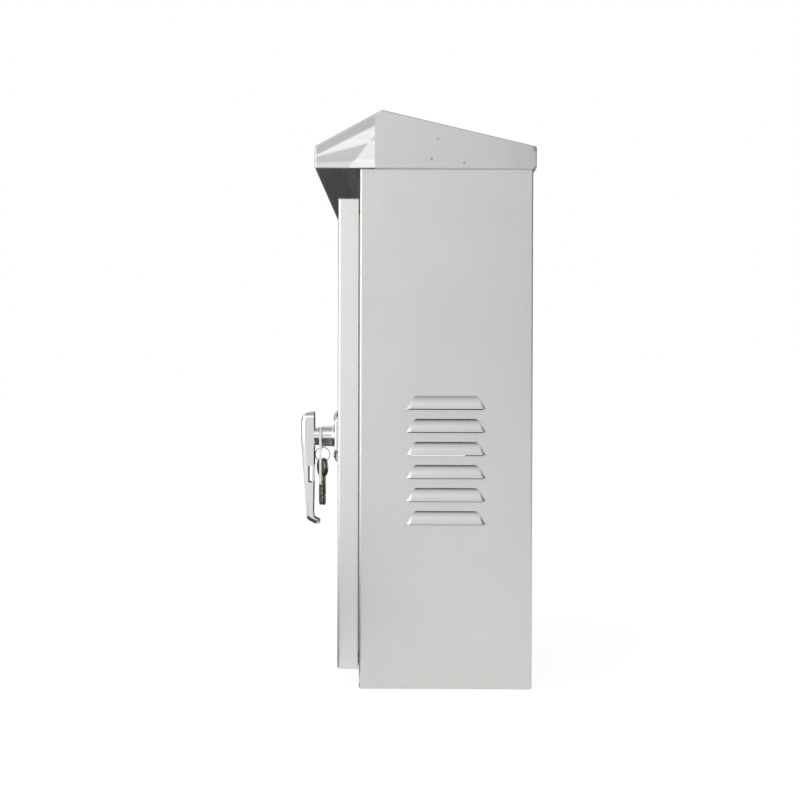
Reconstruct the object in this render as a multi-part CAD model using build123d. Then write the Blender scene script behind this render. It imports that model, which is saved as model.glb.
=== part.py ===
from build123d import *

import math
import os

# Body: a stainless-steel box, folded and welded
BODY_WIDTH = 500.0
BODY_DEPTH = 200.0
BODY_HEIGHT = 600.0
SHEET = 1.2
FOLD_R = 2.5
BASE_CORNER_R = 6.0

# Door opening, with a gutter lip folded forward all round it
DOOR_SIDE_MARGIN = 18.5
DOOR_TOP_MARGIN = 29.5
LIP_INSET = 15.5
LIP_HEIGHT = 16.0
LIP_CORNER_R = 4.0

# Door: a folded pan that stands in front of the body
DOOR_DEPTH = 24.0
DOOR_GAP = 2.0
DOOR_FOLD_R = 3.0
DOOR_CORNER_R = 3.6
DOOR_RETURN = 10.0
GASKET_WIDTH = 14.0
GASKET_GAP = 0.3

# Louvres pressed in both sides, mouths facing down
LOUVRE_COUNT = 6
LOUVRE_PITCH = 26.6
LOUVRE_LOWEST_Z = 191.4
LOUVRE_TOP_LENGTH = 79.0
LOUVRE_MOUTH_LENGTH = 99.0
LOUVRE_HEIGHT = 15.0
LOUVRE_PROUD = 7.0
LOUVRE_END_SLOPE = 40.0
LOUVRE_EDGE_R = 2.5

# Roof: a low gable in two welded sheets, with a deep front eave
ROOF_SIDE_OVERHANG = 3.5
ROOF_REAR_OVERHANG = 3.5
ROOF_FRONT_OVERHANG = 52.0
ROOF_FASCIA = 26.0
ROOF_RISE = 42.0
RIDGE_SETBACK = 25.5
ROOF_SEAM_AHEAD = 8.0
SOFFIT_OVERLAP = 20.0
ROOF_REAR_RETURN = 25.0
ROOF_SIDE_RETURN = 13.5
ROOF_SCREW_SPACING = 400.0
ROOF_SCREW_FRONT_INSET = 12.0
ROOF_SCREW_REAR_INSET = 12.0

# Removable cable plate in the base, with rubber grommets
BASE_OPENING_WIDTH = 320.0
BASE_OPENING_DEPTH = 64.0
BASE_OPENING_BACK_MARGIN = 22.0
CABLE_PLATE_SHEET = 1.5
CABLE_PLATE_OVERLAP = 15.0
CABLE_PLATE_STUD_INSET = 8.0
GROMMET_COUNT = 3
GROMMET_PITCH = 110.0
GROMMET_HOLE_R = 18.0
GROMMET_BORE_R = 13.0
GROMMET_FLANGE_R = 22.0
GROMMET_UPPER = 2.5
GROMMET_LOWER = 1.0

# Wall fixing holes in the back
WALL_HOLE_R = 4.5
WALL_HOLE_SPACING_X = 410.0
WALL_HOLE_SPACING_Z = 500.0
WALL_HOLE_CENTRE_Z = 295.0

# Mounting plate: a raised field between two set-back strips, on four shouldered studs
PLATE_WIDTH = 380.0
PLATE_HEIGHT = 480.0
PLATE_SHEET = 2.0
PLATE_STANDOFF = 5.0
PLATE_RAISE = 14.0
PLATE_STRIP = 36.0
PLATE_FOLD_R = 3.0
PLATE_STUD_INSET = 16.0
PLATE_CORNER_R = 6.0
STUD_R = 4.0
STUD_SHOULDER_R = 7.0
STUD_END = 12.0

# Earth stud on the right side, inside
EARTH_Z = 60.0
EARTH_Y = 40.0
EARTH_LENGTH = 22.0

# Lift-off hinges at the door's left edge
HINGE_LOW_Z = 110.0
HINGE_HIGH_Z = 480.0
HINGE_HEIGHT = 60.0
HINGE_BARREL_R = 5.0
HINGE_PIN_R = 3.0
HINGE_RUNNING_GAP = 0.05
HINGE_SIDE_GAP = 0.6
HINGE_LEAF = 2.0
HINGE_LEAF_WIDTH = 10.0
HINGE_DOOR_LEAF_WIDTH = 18.0
HINGE_WASHER = 1.0
HINGE_CAP = 2.5

# Lock: a fixed housing on the door, with a turning lever
LOCK_INSET = 45.0
LOCK_Z = 290.0
ROSE_WIDTH = 46.0
ROSE_HEIGHT = 60.0
ROSE_CORNER_R = 16.0
ROSE_THICKNESS = 4.2
ROSE_EDGE_R = 2.0
SEAL_THICKNESS = 0.8
SEAL_INSET = 1.5
FLARE_R = 16.5
FLARE_LENGTH = 4.0
BARREL_R = 12.2
BARREL_REACH = 20.8
NECK_R = 9.7
NECK_LENGTH = 3.2
SHANK_R = 10.5
SHANK_LENGTH = 21.0
SHAFT_R = 8.0
SHAFT_RUNNING_GAP = 0.05
SHAFT_INNER_END = 4.0
LOCK_SCREW_PITCH = 45.0

# Lever: a hollow die-cast arm that hangs down and curls in at its tip
LEVER_HUB_GAP = 0.3
LEVER_HUB_R = 11.0
LEVER_INNER_FACE = 30.3
LEVER_OUTER_FACE = 45.4
LEVER_HEAD_HALF = 14.0
LEVER_GRIP_HALF = 10.5
LEVER_ABOVE = 29.8
LEVER_BELOW = 104.8
LEVER_CROWN_R = 12.0
LEVER_SHOULDER_R = 9.0
LEVER_BREAK = -5.0
LEVER_BREAK_R = 90.0
LEVER_LEAN = 0.0657
LEVER_KNEE_R = 7.0
LEVER_CURL = 6.5
LEVER_TIP_HEIGHT = 4.5
LEVER_WALL = 2.4
LEVER_EDGE_R = 4.5
LEVER_POCKET_TOP = 17.0
LEVER_POCKET_END = 90.0
LEVER_SLOT_TOP = 35.0
LEVER_SLOT_LENGTH = 20.0
LEVER_SLOT_DEPTH = 32.0
LEVER_SLOT_WIDTH = 5.0

# Lock cylinder and its plug
CYLINDER_R = 6.5
CYLINDER_FACE = 44.9
CYLINDER_END = 22.0
PLUG_R = 5.0
PLUG_RUNNING_GAP = 0.05
PLUG_RECESS = 0.4
KEYWAY_WIDTH = 2.3
KEYWAY_HEIGHT = 8.2
KEYWAY_DEPTH = 20.0

# Spindle, cam and their nut
SPINDLE_SQUARE = 7.0
SPINDLE_SOCKET = 10.0
SPINDLE_FIT = 0.05
SPINDLE_PIN_R = 1.5
CAM_THICKNESS = 3.0
CAM_GAP = 1.5
CAM_OVERLAP = 9.2
CAM_HUB_R = 9.5
CAM_TIP_R = 6.0
SPACER_R = 8.0
SPACER_GAP = 0.3

# Keys on a split ring, tied to the neck of the housing
TIE_WIDTH = 2.6
TIE_THICKNESS = 1.2
TIE_GAP = 0.06
TIE_LOOP_R = 1.7
TIE_TAIL = 56.0
RING_WIRE_R = 0.75
RING_OUTER_R = 9.4
RING_DROP = 13.25
RING_DEPTH = 20.6
KEY_THICKNESS = 2.0
KEY_BOW_R = 11.0
KEY_HOLE_R = 2.6
KEY_RIM = 3.0
KEY_BLADE_WIDTH = 8.0
KEY_LENGTH = 56.5
KEY_TURN = 27.0
KEY_SPACING = 3.2
KEY_CUTS = 5
KEY_RING_GAP = 0.7

# Small fasteners
SCREW_GAP = 0.3
THREAD_GAP = 0.05
M4_R = 2.0
M4_FLATS = 7.0
M4_NUT = 3.2
M5_R = 2.5
M5_FLATS = 8.0
M5_NUT = 4.0
M6_R = 3.0
M6_FLATS = 10.0
M6_NUT = 5.0
M8_FLATS = 13.0
M8_NUT = 6.5
WASHER = 1.6

# Planes and lines that the pieces share
FRONT = -BODY_DEPTH / 2
BACK = BODY_DEPTH / 2
SIDE = BODY_WIDTH / 2
DOOR_X = SIDE - DOOR_SIDE_MARGIN
DOOR_Z0 = DOOR_SIDE_MARGIN
DOOR_Z1 = BODY_HEIGHT - DOOR_TOP_MARGIN
DOOR_REAR = FRONT - DOOR_GAP
DOOR_FACE = DOOR_REAR - DOOR_DEPTH
DOOR_INNER = DOOR_FACE + SHEET
LIP_X = DOOR_X - LIP_INSET
LIP_Z0 = DOOR_Z0 + LIP_INSET
LIP_Z1 = DOOR_Z1 - LIP_INSET
LIP_FRONT = FRONT - LIP_HEIGHT
ROOF_X = SIDE + ROOF_SIDE_OVERHANG
ROOF_FRONT = FRONT - ROOF_FRONT_OVERHANG
ROOF_REAR = BACK + ROOF_REAR_OVERHANG
EAVE_Z = BODY_HEIGHT + ROOF_FASCIA
RIDGE_Z = EAVE_Z + ROOF_RISE
RIDGE_Y = FRONT + RIDGE_SETBACK
BASE_OPENING_Y = BACK - BASE_OPENING_BACK_MARGIN - BASE_OPENING_DEPTH / 2
HINGE_X = -DOOR_X - HINGE_BARREL_R - HINGE_SIDE_GAP
HINGE_Y = FRONT - HINGE_BARREL_R - HINGE_SIDE_GAP
LOCK_X = DOOR_X - LOCK_INSET
PLATE_REAR = BACK - SHEET - PLATE_STANDOFF
STRIP_FACE = PLATE_REAR - PLATE_SHEET
FIELD_FACE = STRIP_FACE - PLATE_RAISE
CAM_FRONT = FRONT + SHEET + CAM_GAP
CAM_REAR = CAM_FRONT + CAM_THICKNESS
LOW = (Align.CENTER, Align.CENTER, Align.MIN)


def ahead(depth):
    """Return the y of a point that stands this far in front of the door's face."""
    return DOOR_FACE - depth


def block(x0, x1, y0, y1, z0, z1):
    """Return a box between two corners."""
    box = Box(x1 - x0, y1 - y0, z1 - z0, align=(Align.MIN, Align.MIN, Align.MIN))
    return Pos(x0, y0, z0) * box


def rod_x(radius, x0, x1, y, z):
    """Return a cylinder that lies along X."""
    return Pos(x0, y, z) * Rot(0, 90, 0) * Cylinder(radius, x1 - x0, align=LOW)


def rod_y(radius, x, y0, y1, z):
    """Return a cylinder that lies along Y."""
    return Pos(x, y0, z) * Rot(-90, 0, 0) * Cylinder(radius, y1 - y0, align=LOW)


def rod_z(radius, x, y, z0, z1):
    """Return a cylinder that stands along Z."""
    return Pos(x, y, z0) * Cylinder(radius, z1 - z0, align=LOW)


def hexagon(flats, height):
    """Return a hexagonal prism on the XY plane."""
    outline = RegularPolygon(flats / 2, 6, major_radius=False)
    return extrude(outline, height)


def pan_head(radius, height):
    """Return a screw head with a rounded top, on the XY plane."""
    head = Cylinder(radius, height, align=LOW)
    rim = head.edges().group_by(Axis.Z)[-1]
    return fillet(rim, height * 0.45)


def upright_plate(width, z0, z1, corner_r, y0, y1):
    """Return a flat plate that faces -Y, with rounded corners."""
    outline = RectangleRounded(width, z1 - z0, corner_r)
    face = Pos(0, y1, (z0 + z1) / 2) * Rot(90, 0, 0) * outline
    return extrude(face, y1 - y0)


def corners(spacing_x, spacing_y):
    """Return the four corners of a rectangle about the origin."""
    return [(sx * spacing_x / 2, sy * spacing_y / 2) for sx in (-1, 1) for sy in (-1, 1)]


def roof_screw_places():
    """Return where the four roof screws stand, as x and y."""
    half = ROOF_SCREW_SPACING / 2
    front = FRONT + ROOF_SCREW_FRONT_INSET
    rear = BACK - ROOF_SCREW_REAR_INSET
    return [(side * half, y) for side in (-1, 1) for y in (front, rear)]


def cable_plate_size():
    """Return the cable plate's width and depth."""
    border = 2 * CABLE_PLATE_OVERLAP
    return BASE_OPENING_WIDTH + border, BASE_OPENING_DEPTH + border


def cable_stud_places():
    """Return where the cable plate's studs stand, as x and y."""
    width, depth = cable_plate_size()
    inset = 2 * CABLE_PLATE_STUD_INSET
    return [(x, BASE_OPENING_Y + y) for x, y in corners(width - inset, depth - inset)]


def grommet_xs():
    """Return the x of each grommet."""
    middle = (GROMMET_COUNT - 1) / 2
    return [(i - middle) * GROMMET_PITCH for i in range(GROMMET_COUNT)]


def plate_stud_places():
    """Return where the mounting plate's studs stand, as x and z."""
    spacing_x = PLATE_WIDTH - 2 * PLATE_STUD_INSET
    spacing_z = PLATE_HEIGHT - 2 * PLATE_STUD_INSET
    return [(x, WALL_HOLE_CENTRE_Z + z) for x, z in corners(spacing_x, spacing_z)]


def lock_screw_places():
    """Return the z of the two lock screws."""
    return [LOCK_Z - LOCK_SCREW_PITCH / 2, LOCK_Z + LOCK_SCREW_PITCH / 2]


def hinge_screw_places(centre_z):
    """Return the z of the two screws of one hinge's door leaf."""
    quarter = HINGE_HEIGHT / 4
    spread = HINGE_HEIGHT / 9
    return [centre_z + quarter - spread, centre_z + quarter + spread]


def scoop(inset, reach_in):
    """Return the solid form of one louvre on the plane x=0, its mouth at z=0.

    inset thins it on every outer face, and reach_in runs it back through the wall.
    """
    proud = LOUVRE_PROUD - inset
    height = LOUVRE_HEIGHT - inset
    skirt = proud + 2 * SHEET
    slope = (LOUVRE_MOUTH_LENGTH - LOUVRE_TOP_LENGTH) / 2 / LOUVRE_HEIGHT
    top = LOUVRE_TOP_LENGTH / 2 - inset
    bottom = top + slope * (height + skirt)
    outline = Plane.YZ * Polygon(
        (-bottom, -skirt), (bottom, -skirt), (top, height), (-top, height), align=None
    )
    mound = extrude(outline, proud, taper=LOUVRE_END_SLOPE)
    curve = ThreePointArc((0, height), (proud * 0.62, height * 0.58), (proud, 0))
    foot = Polyline((proud, 0), (proud, -skirt), (0, -skirt), (0, height))
    profile = Plane.XZ * make_face([curve, foot.edges()])
    hood = extrude(profile, bottom, both=True)
    solid = mound & hood
    ends = solid.faces().sort_by(Axis.Y)
    rims = ends[0].edges() & hood_edges(solid, ends[0])
    rims += ends[-1].edges() & hood_edges(solid, ends[-1])
    solid = fillet(rims, LOUVRE_EDGE_R - inset * 0.5)
    if reach_in > 0:
        solid += extrude(solid.faces().sort_by(Axis.X)[0], reach_in)
    return solid


def hood_edges(solid, end):
    """Return the edges of one end face that also bound the curved hood."""
    curved = solid.faces().filter_by(GeomType.PLANE, reverse=True)
    shared = ShapeList()
    for face in curved:
        for edge in face.edges():
            if any(edge.is_same(other) for other in end.edges()):
                shared.append(edge)
    return shared


def louvres(side, inset, reach_in, floor):
    """Return every louvre form of one side, cut off at the mouth less the floor."""
    form = scoop(inset, reach_in)
    reach = LOUVRE_MOUTH_LENGTH
    keep = block(-2 * reach_in - 1, LOUVRE_PROUD + 1, -reach, reach, -floor, 2 * LOUVRE_HEIGHT)
    form = form & keep
    if side < 0:
        form = mirror(form, Plane.YZ)
    places = [Pos(side * SIDE, 0, LOUVRE_LOWEST_Z + i * LOUVRE_PITCH) for i in range(LOUVRE_COUNT)]
    return [place * form for place in places]


def rounded_shell(half_x, y0, y1, z0, z1, radius):
    """Return a box whose upright and bottom edges are rounded."""
    box = block(-half_x, half_x, y0, y1, z0, z1)
    box = fillet(box.edges().filter_by(Axis.Z), radius)
    return fillet(box.edges().group_by(Axis.Z)[0], radius)


def make_body_shell():
    """Return the welded body: sides, back, top, base rim and front frame."""
    outer = rounded_shell(SIDE, FRONT, BACK, 0, BODY_HEIGHT, FOLD_R)
    inner = rounded_shell(
        SIDE - SHEET, FRONT + SHEET, BACK - SHEET, SHEET, BODY_HEIGHT - SHEET, FOLD_R - SHEET
    )
    shell = outer - inner
    lip_outer = upright_plate(2 * LIP_X, LIP_Z0, LIP_Z1, LIP_CORNER_R, LIP_FRONT, FRONT + SHEET)
    opening = upright_plate(
        2 * (LIP_X - SHEET), LIP_Z0 + SHEET, LIP_Z1 - SHEET,
        LIP_CORNER_R - SHEET, LIP_FRONT - 1, FRONT + 2 * SHEET,
    )
    shell = shell + lip_outer - opening
    base = RectangleRounded(BASE_OPENING_WIDTH, BASE_OPENING_DEPTH, BASE_CORNER_R)
    shell -= Pos(0, BASE_OPENING_Y, -SHEET / 2) * extrude(base, 2 * SHEET)
    for x, y in roof_screw_places():
        shell -= rod_z(M6_R + SCREW_GAP, x, y, BODY_HEIGHT - 2 * SHEET, BODY_HEIGHT + SHEET)
    for x, z in corners(WALL_HOLE_SPACING_X, WALL_HOLE_SPACING_Z):
        shell -= rod_y(WALL_HOLE_R, x, BACK - 2 * SHEET, BACK + SHEET, WALL_HOLE_CENTRE_Z + z)
    for side in (-1, 1):
        for form in louvres(side, 0, 0, 0):
            shell += form
        for form in louvres(side, SHEET, 2 * SHEET, SHEET):
            shell -= form
    return shell


def roof_outline(inset):
    """Return the gable's outline in the YZ plane, inset by a sheet or not at all."""
    outline = Polygon(
        (ROOF_FRONT, BODY_HEIGHT), (ROOF_REAR, BODY_HEIGHT), (ROOF_REAR, EAVE_Z),
        (RIDGE_Y, RIDGE_Z), (ROOF_FRONT, EAVE_Z), align=None,
    )
    if inset > 0:
        outline = offset(outline, -inset, kind=Kind.INTERSECTION)
    return fillet(outline.vertices(), FOLD_R - inset)


def roof_shell():
    """Return the whole roof as one hollow sheet form, open over the body."""
    outer = extrude(Plane.YZ * roof_outline(0), ROOF_X, both=True)
    outer = fillet(outer.faces().sort_by(Axis.X)[0].edges(), FOLD_R * 0.8)
    outer = fillet(outer.faces().sort_by(Axis.X)[-1].edges(), FOLD_R * 0.8)
    inner = extrude(Plane.YZ * roof_outline(SHEET), ROOF_X - SHEET, both=True)
    floor = block(
        -ROOF_X + ROOF_SIDE_RETURN, ROOF_X - ROOF_SIDE_RETURN,
        FRONT + SOFFIT_OVERLAP, ROOF_REAR - ROOF_REAR_RETURN,
        BODY_HEIGHT - SHEET, BODY_HEIGHT + 2 * SHEET,
    )
    shell = outer - inner - floor
    for x, y in roof_screw_places():
        shell -= rod_z(M6_R + SCREW_GAP, x, y, BODY_HEIGHT - SHEET, BODY_HEIGHT + 2 * SHEET)
    return shell


def make_roof_half(front):
    """Return the sheet in front of the weld seam, or the one behind it."""
    seam = RIDGE_Y - ROOF_SEAM_AHEAD
    y0 = ROOF_FRONT - SHEET if front else seam
    y1 = seam if front else ROOF_REAR + SHEET
    return roof_shell() & block(-2 * ROOF_X, 2 * ROOF_X, y0, y1, 0, 2 * RIDGE_Z)


def make_roof_screws():
    """Return the four hexagon screws that hold the roof from inside."""
    head_z = BODY_HEIGHT - SHEET
    length = 2 * SHEET + M6_NUT + 3.0
    screws = []
    for x, y in roof_screw_places():
        head = Pos(x, y, head_z - M6_NUT) * hexagon(M6_FLATS, M6_NUT)
        screws.append(head + rod_z(M6_R, x, y, head_z - 1.0, head_z + length))
    return screws


def make_roof_weld_nuts():
    """Return the four nuts welded on the roof's returns."""
    nut = hexagon(M6_FLATS, M6_NUT) - Cylinder(M6_R + THREAD_GAP, 4 * M6_NUT)
    return [Pos(x, y, BODY_HEIGHT + SHEET) * nut for x, y in roof_screw_places()]


def make_cable_plate():
    """Return the removable plate over the opening in the base."""
    width, depth = cable_plate_size()
    plate = extrude(RectangleRounded(width, depth, BASE_CORNER_R), CABLE_PLATE_SHEET)
    plate = Pos(0, BASE_OPENING_Y, SHEET) * plate
    for x in grommet_xs():
        plate -= rod_z(GROMMET_HOLE_R, x, BASE_OPENING_Y, 0, 4 * SHEET)
    for x, y in cable_stud_places():
        plate -= rod_z(M5_R + SCREW_GAP, x, y, 0, 4 * SHEET)
    return plate


def make_cable_plate_studs():
    """Return the four studs welded on the base rim."""
    length = CABLE_PLATE_SHEET + M5_NUT + 2.5
    return [rod_z(M5_R, x, y, SHEET, SHEET + length) for x, y in cable_stud_places()]


def make_cable_plate_nuts():
    """Return the four nuts that hold the cable plate down."""
    nut = hexagon(M5_FLATS, M5_NUT) - Cylinder(M5_R + THREAD_GAP, 4 * M5_NUT)
    return [Pos(x, y, SHEET + CABLE_PLATE_SHEET) * nut for x, y in cable_stud_places()]


def make_grommet(x):
    """Return one rubber grommet, turned round its bore, seated in the cable plate."""
    low = -GROMMET_LOWER
    high = CABLE_PLATE_SHEET + GROMMET_UPPER
    groove = GROMMET_HOLE_R - THREAD_GAP
    section = Polyline(
        (GROMMET_BORE_R, low), (GROMMET_FLANGE_R - 1.0, low), (GROMMET_FLANGE_R, low * 0.5),
        (GROMMET_FLANGE_R, 0), (groove, 0), (groove, CABLE_PLATE_SHEET),
        (GROMMET_FLANGE_R, CABLE_PLATE_SHEET), (GROMMET_FLANGE_R, CABLE_PLATE_SHEET + 0.8),
        (GROMMET_HOLE_R + 1.5, high), (GROMMET_BORE_R, high), (GROMMET_BORE_R, low),
    )
    ring = revolve(Plane.XZ * make_face(section), Axis.Z)
    return Pos(x, BASE_OPENING_Y, SHEET) * ring


def plate_section():
    """Return the mounting plate's stepped section, seen from above."""
    edge = PLATE_WIDTH / 2
    web = edge - PLATE_STRIP
    inner = web - PLATE_SHEET
    bend = PLATE_FOLD_R - PLATE_SHEET
    front = [
        (edge, PLATE_REAR, 0), (edge, STRIP_FACE, 0),
        (web, STRIP_FACE, bend), (web, FIELD_FACE, PLATE_FOLD_R),
    ]
    rear = [(inner, FIELD_FACE + PLATE_SHEET, bend), (inner, PLATE_REAR, PLATE_FOLD_R)]
    left_front = [(-x, y, radius) for x, y, radius in reversed(front)]
    left_rear = [(-x, y, radius) for x, y, radius in reversed(rear)]
    return rounded_outline(front + left_front + left_rear + rear)


def make_mounting_plate():
    """Return the galvanised plate, with its fixing strips behind its field."""
    plate = extrude(plate_section(), PLATE_HEIGHT, dir=(0, 0, 1))
    plate = Pos(0, 0, WALL_HOLE_CENTRE_Z - PLATE_HEIGHT / 2) * plate
    ends = plate.edges().filter_by(Axis.Y).group_by(Axis.X)
    plate = fillet(ends[0] + ends[-1], PLATE_CORNER_R)
    for x, z in plate_stud_places():
        plate -= rod_y(STUD_R + SCREW_GAP, x, STRIP_FACE - 1, PLATE_REAR + 1, z)
    return plate


def make_plate_studs():
    """Return the four shouldered studs welded to the back."""
    studs = []
    for x, z in plate_stud_places():
        shoulder = rod_y(STUD_SHOULDER_R, x, PLATE_REAR, BACK - SHEET, z)
        thread = rod_y(STUD_R, x, STRIP_FACE - STUD_END, PLATE_REAR + 1, z)
        studs.append(shoulder + thread)
    return studs


def make_plate_washers():
    """Return the four washers in front of the mounting plate's strips."""
    washers = []
    for x, z in plate_stud_places():
        washer = rod_y(2 * STUD_R, x, STRIP_FACE - WASHER, STRIP_FACE, z)
        bore = rod_y(STUD_R + SCREW_GAP, x, STRIP_FACE - 2 * WASHER, STRIP_FACE + 1, z)
        washers.append(washer - bore)
    return washers


def nut_y(flats, height, bore_r, x, y0, z):
    """Return a hexagon nut on an axis along Y, from y0 towards +Y."""
    nut = hexagon(flats, height) - Cylinder(bore_r + THREAD_GAP, 4 * height)
    return Pos(x, y0, z) * Rot(-90, 0, 0) * nut


def make_plate_nuts():
    """Return the four nuts that hold the mounting plate."""
    y0 = STRIP_FACE - WASHER - M8_NUT
    return [nut_y(M8_FLATS, M8_NUT, STUD_R, x, y0, z) for x, z in plate_stud_places()]


def make_earth_stud():
    """Return the earth stud, welded inside the right side."""
    return rod_x(STUD_R, SIDE - SHEET - EARTH_LENGTH, SIDE - SHEET, EARTH_Y, EARTH_Z)


def make_earth_washer():
    """Return the washer of the earth stud, against the side."""
    x1 = SIDE - SHEET
    washer = rod_x(2 * STUD_R, x1 - WASHER, x1, EARTH_Y, EARTH_Z)
    return washer - rod_x(STUD_R + THREAD_GAP, x1 - 2 * WASHER, x1 + 1, EARTH_Y, EARTH_Z)


def make_earth_nut():
    """Return the nut of the earth stud, on its washer."""
    nut = hexagon(M8_FLATS, M8_NUT) - Cylinder(STUD_R + THREAD_GAP, 4 * M8_NUT)
    return Pos(SIDE - SHEET - WASHER - M8_NUT, EARTH_Y, EARTH_Z) * Rot(0, 90, 0) * nut


def hinge_levels(centre_z):
    """Return a hinge's lower end, washer seat and upper end."""
    return centre_z - HINGE_HEIGHT / 2, centre_z, centre_z + HINGE_HEIGHT / 2


def make_hinge_body_leaf(centre_z):
    """Return the lower knuckle, with the leaf that is welded to the body."""
    low, seat, _ = hinge_levels(centre_z)
    barrel = rod_z(HINGE_BARREL_R, HINGE_X, HINGE_Y, low, seat)
    leaf = block(HINGE_X - HINGE_LEAF_WIDTH, HINGE_X, FRONT - HINGE_LEAF, FRONT, low, seat)
    bore = rod_z(HINGE_PIN_R, HINGE_X, HINGE_Y, low + HINGE_CAP, seat + 1)
    return barrel + leaf - bore


def make_hinge_pin(centre_z):
    """Return the pin, fixed in the lower knuckle."""
    low, _, high = hinge_levels(centre_z)
    top = high - 2 * HINGE_CAP
    pin = rod_z(HINGE_PIN_R, HINGE_X, HINGE_Y, low + HINGE_CAP, top)
    return fillet(pin.edges().group_by(Axis.Z)[-1], HINGE_PIN_R * 0.5)


def make_hinge_washer(centre_z):
    """Return the brass washer between the knuckles."""
    _, seat, _ = hinge_levels(centre_z)
    washer = rod_z(HINGE_BARREL_R, HINGE_X, HINGE_Y, seat, seat + HINGE_WASHER)
    return washer - rod_z(HINGE_PIN_R + THREAD_GAP, HINGE_X, HINGE_Y, seat - 1, seat + 3)


def make_hinge_door_leaf(centre_z):
    """Return the upper knuckle, closed on top, with the leaf on the door's side."""
    _, seat, high = hinge_levels(centre_z)
    low = seat + HINGE_WASHER + HINGE_RUNNING_GAP
    barrel = rod_z(HINGE_BARREL_R, HINGE_X, HINGE_Y, low, high)
    barrel = fillet(barrel.edges().group_by(Axis.Z)[-1], HINGE_CAP * 0.7)
    y0 = HINGE_Y - HINGE_DOOR_LEAF_WIDTH
    leaf = block(-DOOR_X - HINGE_LEAF, -DOOR_X, y0, HINGE_Y, low, high - HINGE_CAP)
    front = leaf.edges().filter_by(Axis.X).group_by(Axis.Y)[0]
    leaf = fillet(front, HINGE_CAP)
    bore_r = HINGE_PIN_R + HINGE_RUNNING_GAP
    bore = rod_z(bore_r, HINGE_X, HINGE_Y, low - 1, high - HINGE_CAP)
    knuckle = barrel + leaf - bore
    for z in hinge_screw_places(centre_z):
        y = hinge_screw_y()
        knuckle -= rod_x(M4_R + SCREW_GAP, -DOOR_X - 2 * HINGE_LEAF, -DOOR_X + 1, y, z)
    return knuckle


def hinge_screw_y():
    """Return the y of the hinge screws, midway over the free part of the leaf."""
    free = HINGE_DOOR_LEAF_WIDTH - HINGE_BARREL_R
    return HINGE_Y - HINGE_BARREL_R - free / 2


def make_hinge_screws():
    """Return the pan-head screws of both door leaves."""
    screws = []
    for centre_z in (HINGE_LOW_Z, HINGE_HIGH_Z):
        for z in hinge_screw_places(centre_z):
            seat = -DOOR_X - HINGE_LEAF
            y = hinge_screw_y()
            head = Pos(seat, y, z) * Rot(0, -90, 0) * pan_head(1.9 * M4_R, 1.2 * M4_R)
            end = -DOOR_X + SHEET + M4_NUT + 1.5
            screws.append(head + rod_x(M4_R, seat - 1, end, y, z))
    return screws


def make_hinge_nuts():
    """Return the nuts of the hinge screws, inside the door."""
    nuts = []
    nut = hexagon(M4_FLATS, M4_NUT) - Cylinder(M4_R + THREAD_GAP, 4 * M4_NUT)
    for centre_z in (HINGE_LOW_Z, HINGE_HIGH_Z):
        for z in hinge_screw_places(centre_z):
            nuts.append(Pos(-DOOR_X + SHEET, hinge_screw_y(), z) * Rot(0, 90, 0) * nut)
    return nuts


def pan_form(inset):
    """Return the door pan's solid form, inset by a sheet or not at all."""
    form = block(
        -DOOR_X + inset, DOOR_X - inset, DOOR_FACE + inset, DOOR_REAR - inset,
        DOOR_Z0 + inset, DOOR_Z1 - inset,
    )
    form = fillet(form.edges().filter_by(Axis.Y), DOOR_CORNER_R - inset)
    return fillet(form.edges().group_by(Axis.Y)[0], DOOR_FOLD_R - inset)


def make_door_panel():
    """Return the folded door pan with its returns and its holes."""
    pan = pan_form(0) - pan_form(SHEET)
    half = DOOR_X - DOOR_RETURN
    pan -= upright_plate(
        2 * half, DOOR_Z0 + DOOR_RETURN, DOOR_Z1 - DOOR_RETURN,
        DOOR_CORNER_R, DOOR_REAR - 2 * SHEET, DOOR_REAR + SHEET,
    )
    pan -= rod_y(SHANK_R + SCREW_GAP, LOCK_X, DOOR_FACE - 1, DOOR_INNER + 1, LOCK_Z)
    for z in lock_screw_places():
        pan -= rod_y(M5_R + SCREW_GAP, LOCK_X, DOOR_FACE - 1, DOOR_INNER + 1, z)
    for centre_z in (HINGE_LOW_Z, HINGE_HIGH_Z):
        for z in hinge_screw_places(centre_z):
            pan -= rod_x(M4_R + SCREW_GAP, -DOOR_X - 1, -DOOR_X + 2 * SHEET, hinge_screw_y(), z)
    return pan


def make_door_gasket():
    """Return the foam strip that closes on the gutter lip."""
    centre = LIP_X - SHEET / 2
    low = LIP_Z0 + SHEET / 2
    high = LIP_Z1 - SHEET / 2
    half = GASKET_WIDTH / 2
    rear = LIP_FRONT - GASKET_GAP
    outer = upright_plate(2 * (centre + half), low - half, high + half, half + 2, DOOR_INNER, rear)
    inner = upright_plate(
        2 * (centre - half), low + half, high - half, 2.0, DOOR_INNER - 1, rear + 1
    )
    return outer - inner


def rose_outline(inset):
    """Return the rose's outline, face down on the door."""
    return RectangleRounded(
        ROSE_WIDTH - 2 * inset, ROSE_HEIGHT - 2 * inset, ROSE_CORNER_R - inset
    )


def make_lock_seal():
    """Return the rubber seal between the rose and the door."""
    seal = extrude(rose_outline(SEAL_INSET), SEAL_THICKNESS)
    seal = Pos(LOCK_X, DOOR_FACE, LOCK_Z) * Rot(90, 0, 0) * seal
    seal -= rod_y(SHANK_R + SCREW_GAP, LOCK_X, ahead(2), DOOR_FACE + 1, LOCK_Z)
    for z in lock_screw_places():
        seal -= rod_y(M5_R + SCREW_GAP, LOCK_X, ahead(2), DOOR_FACE + 1, z)
    return seal


def rose_face():
    """Return how far the rose's front stands off the door's face."""
    return SEAL_THICKNESS + ROSE_THICKNESS


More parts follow.
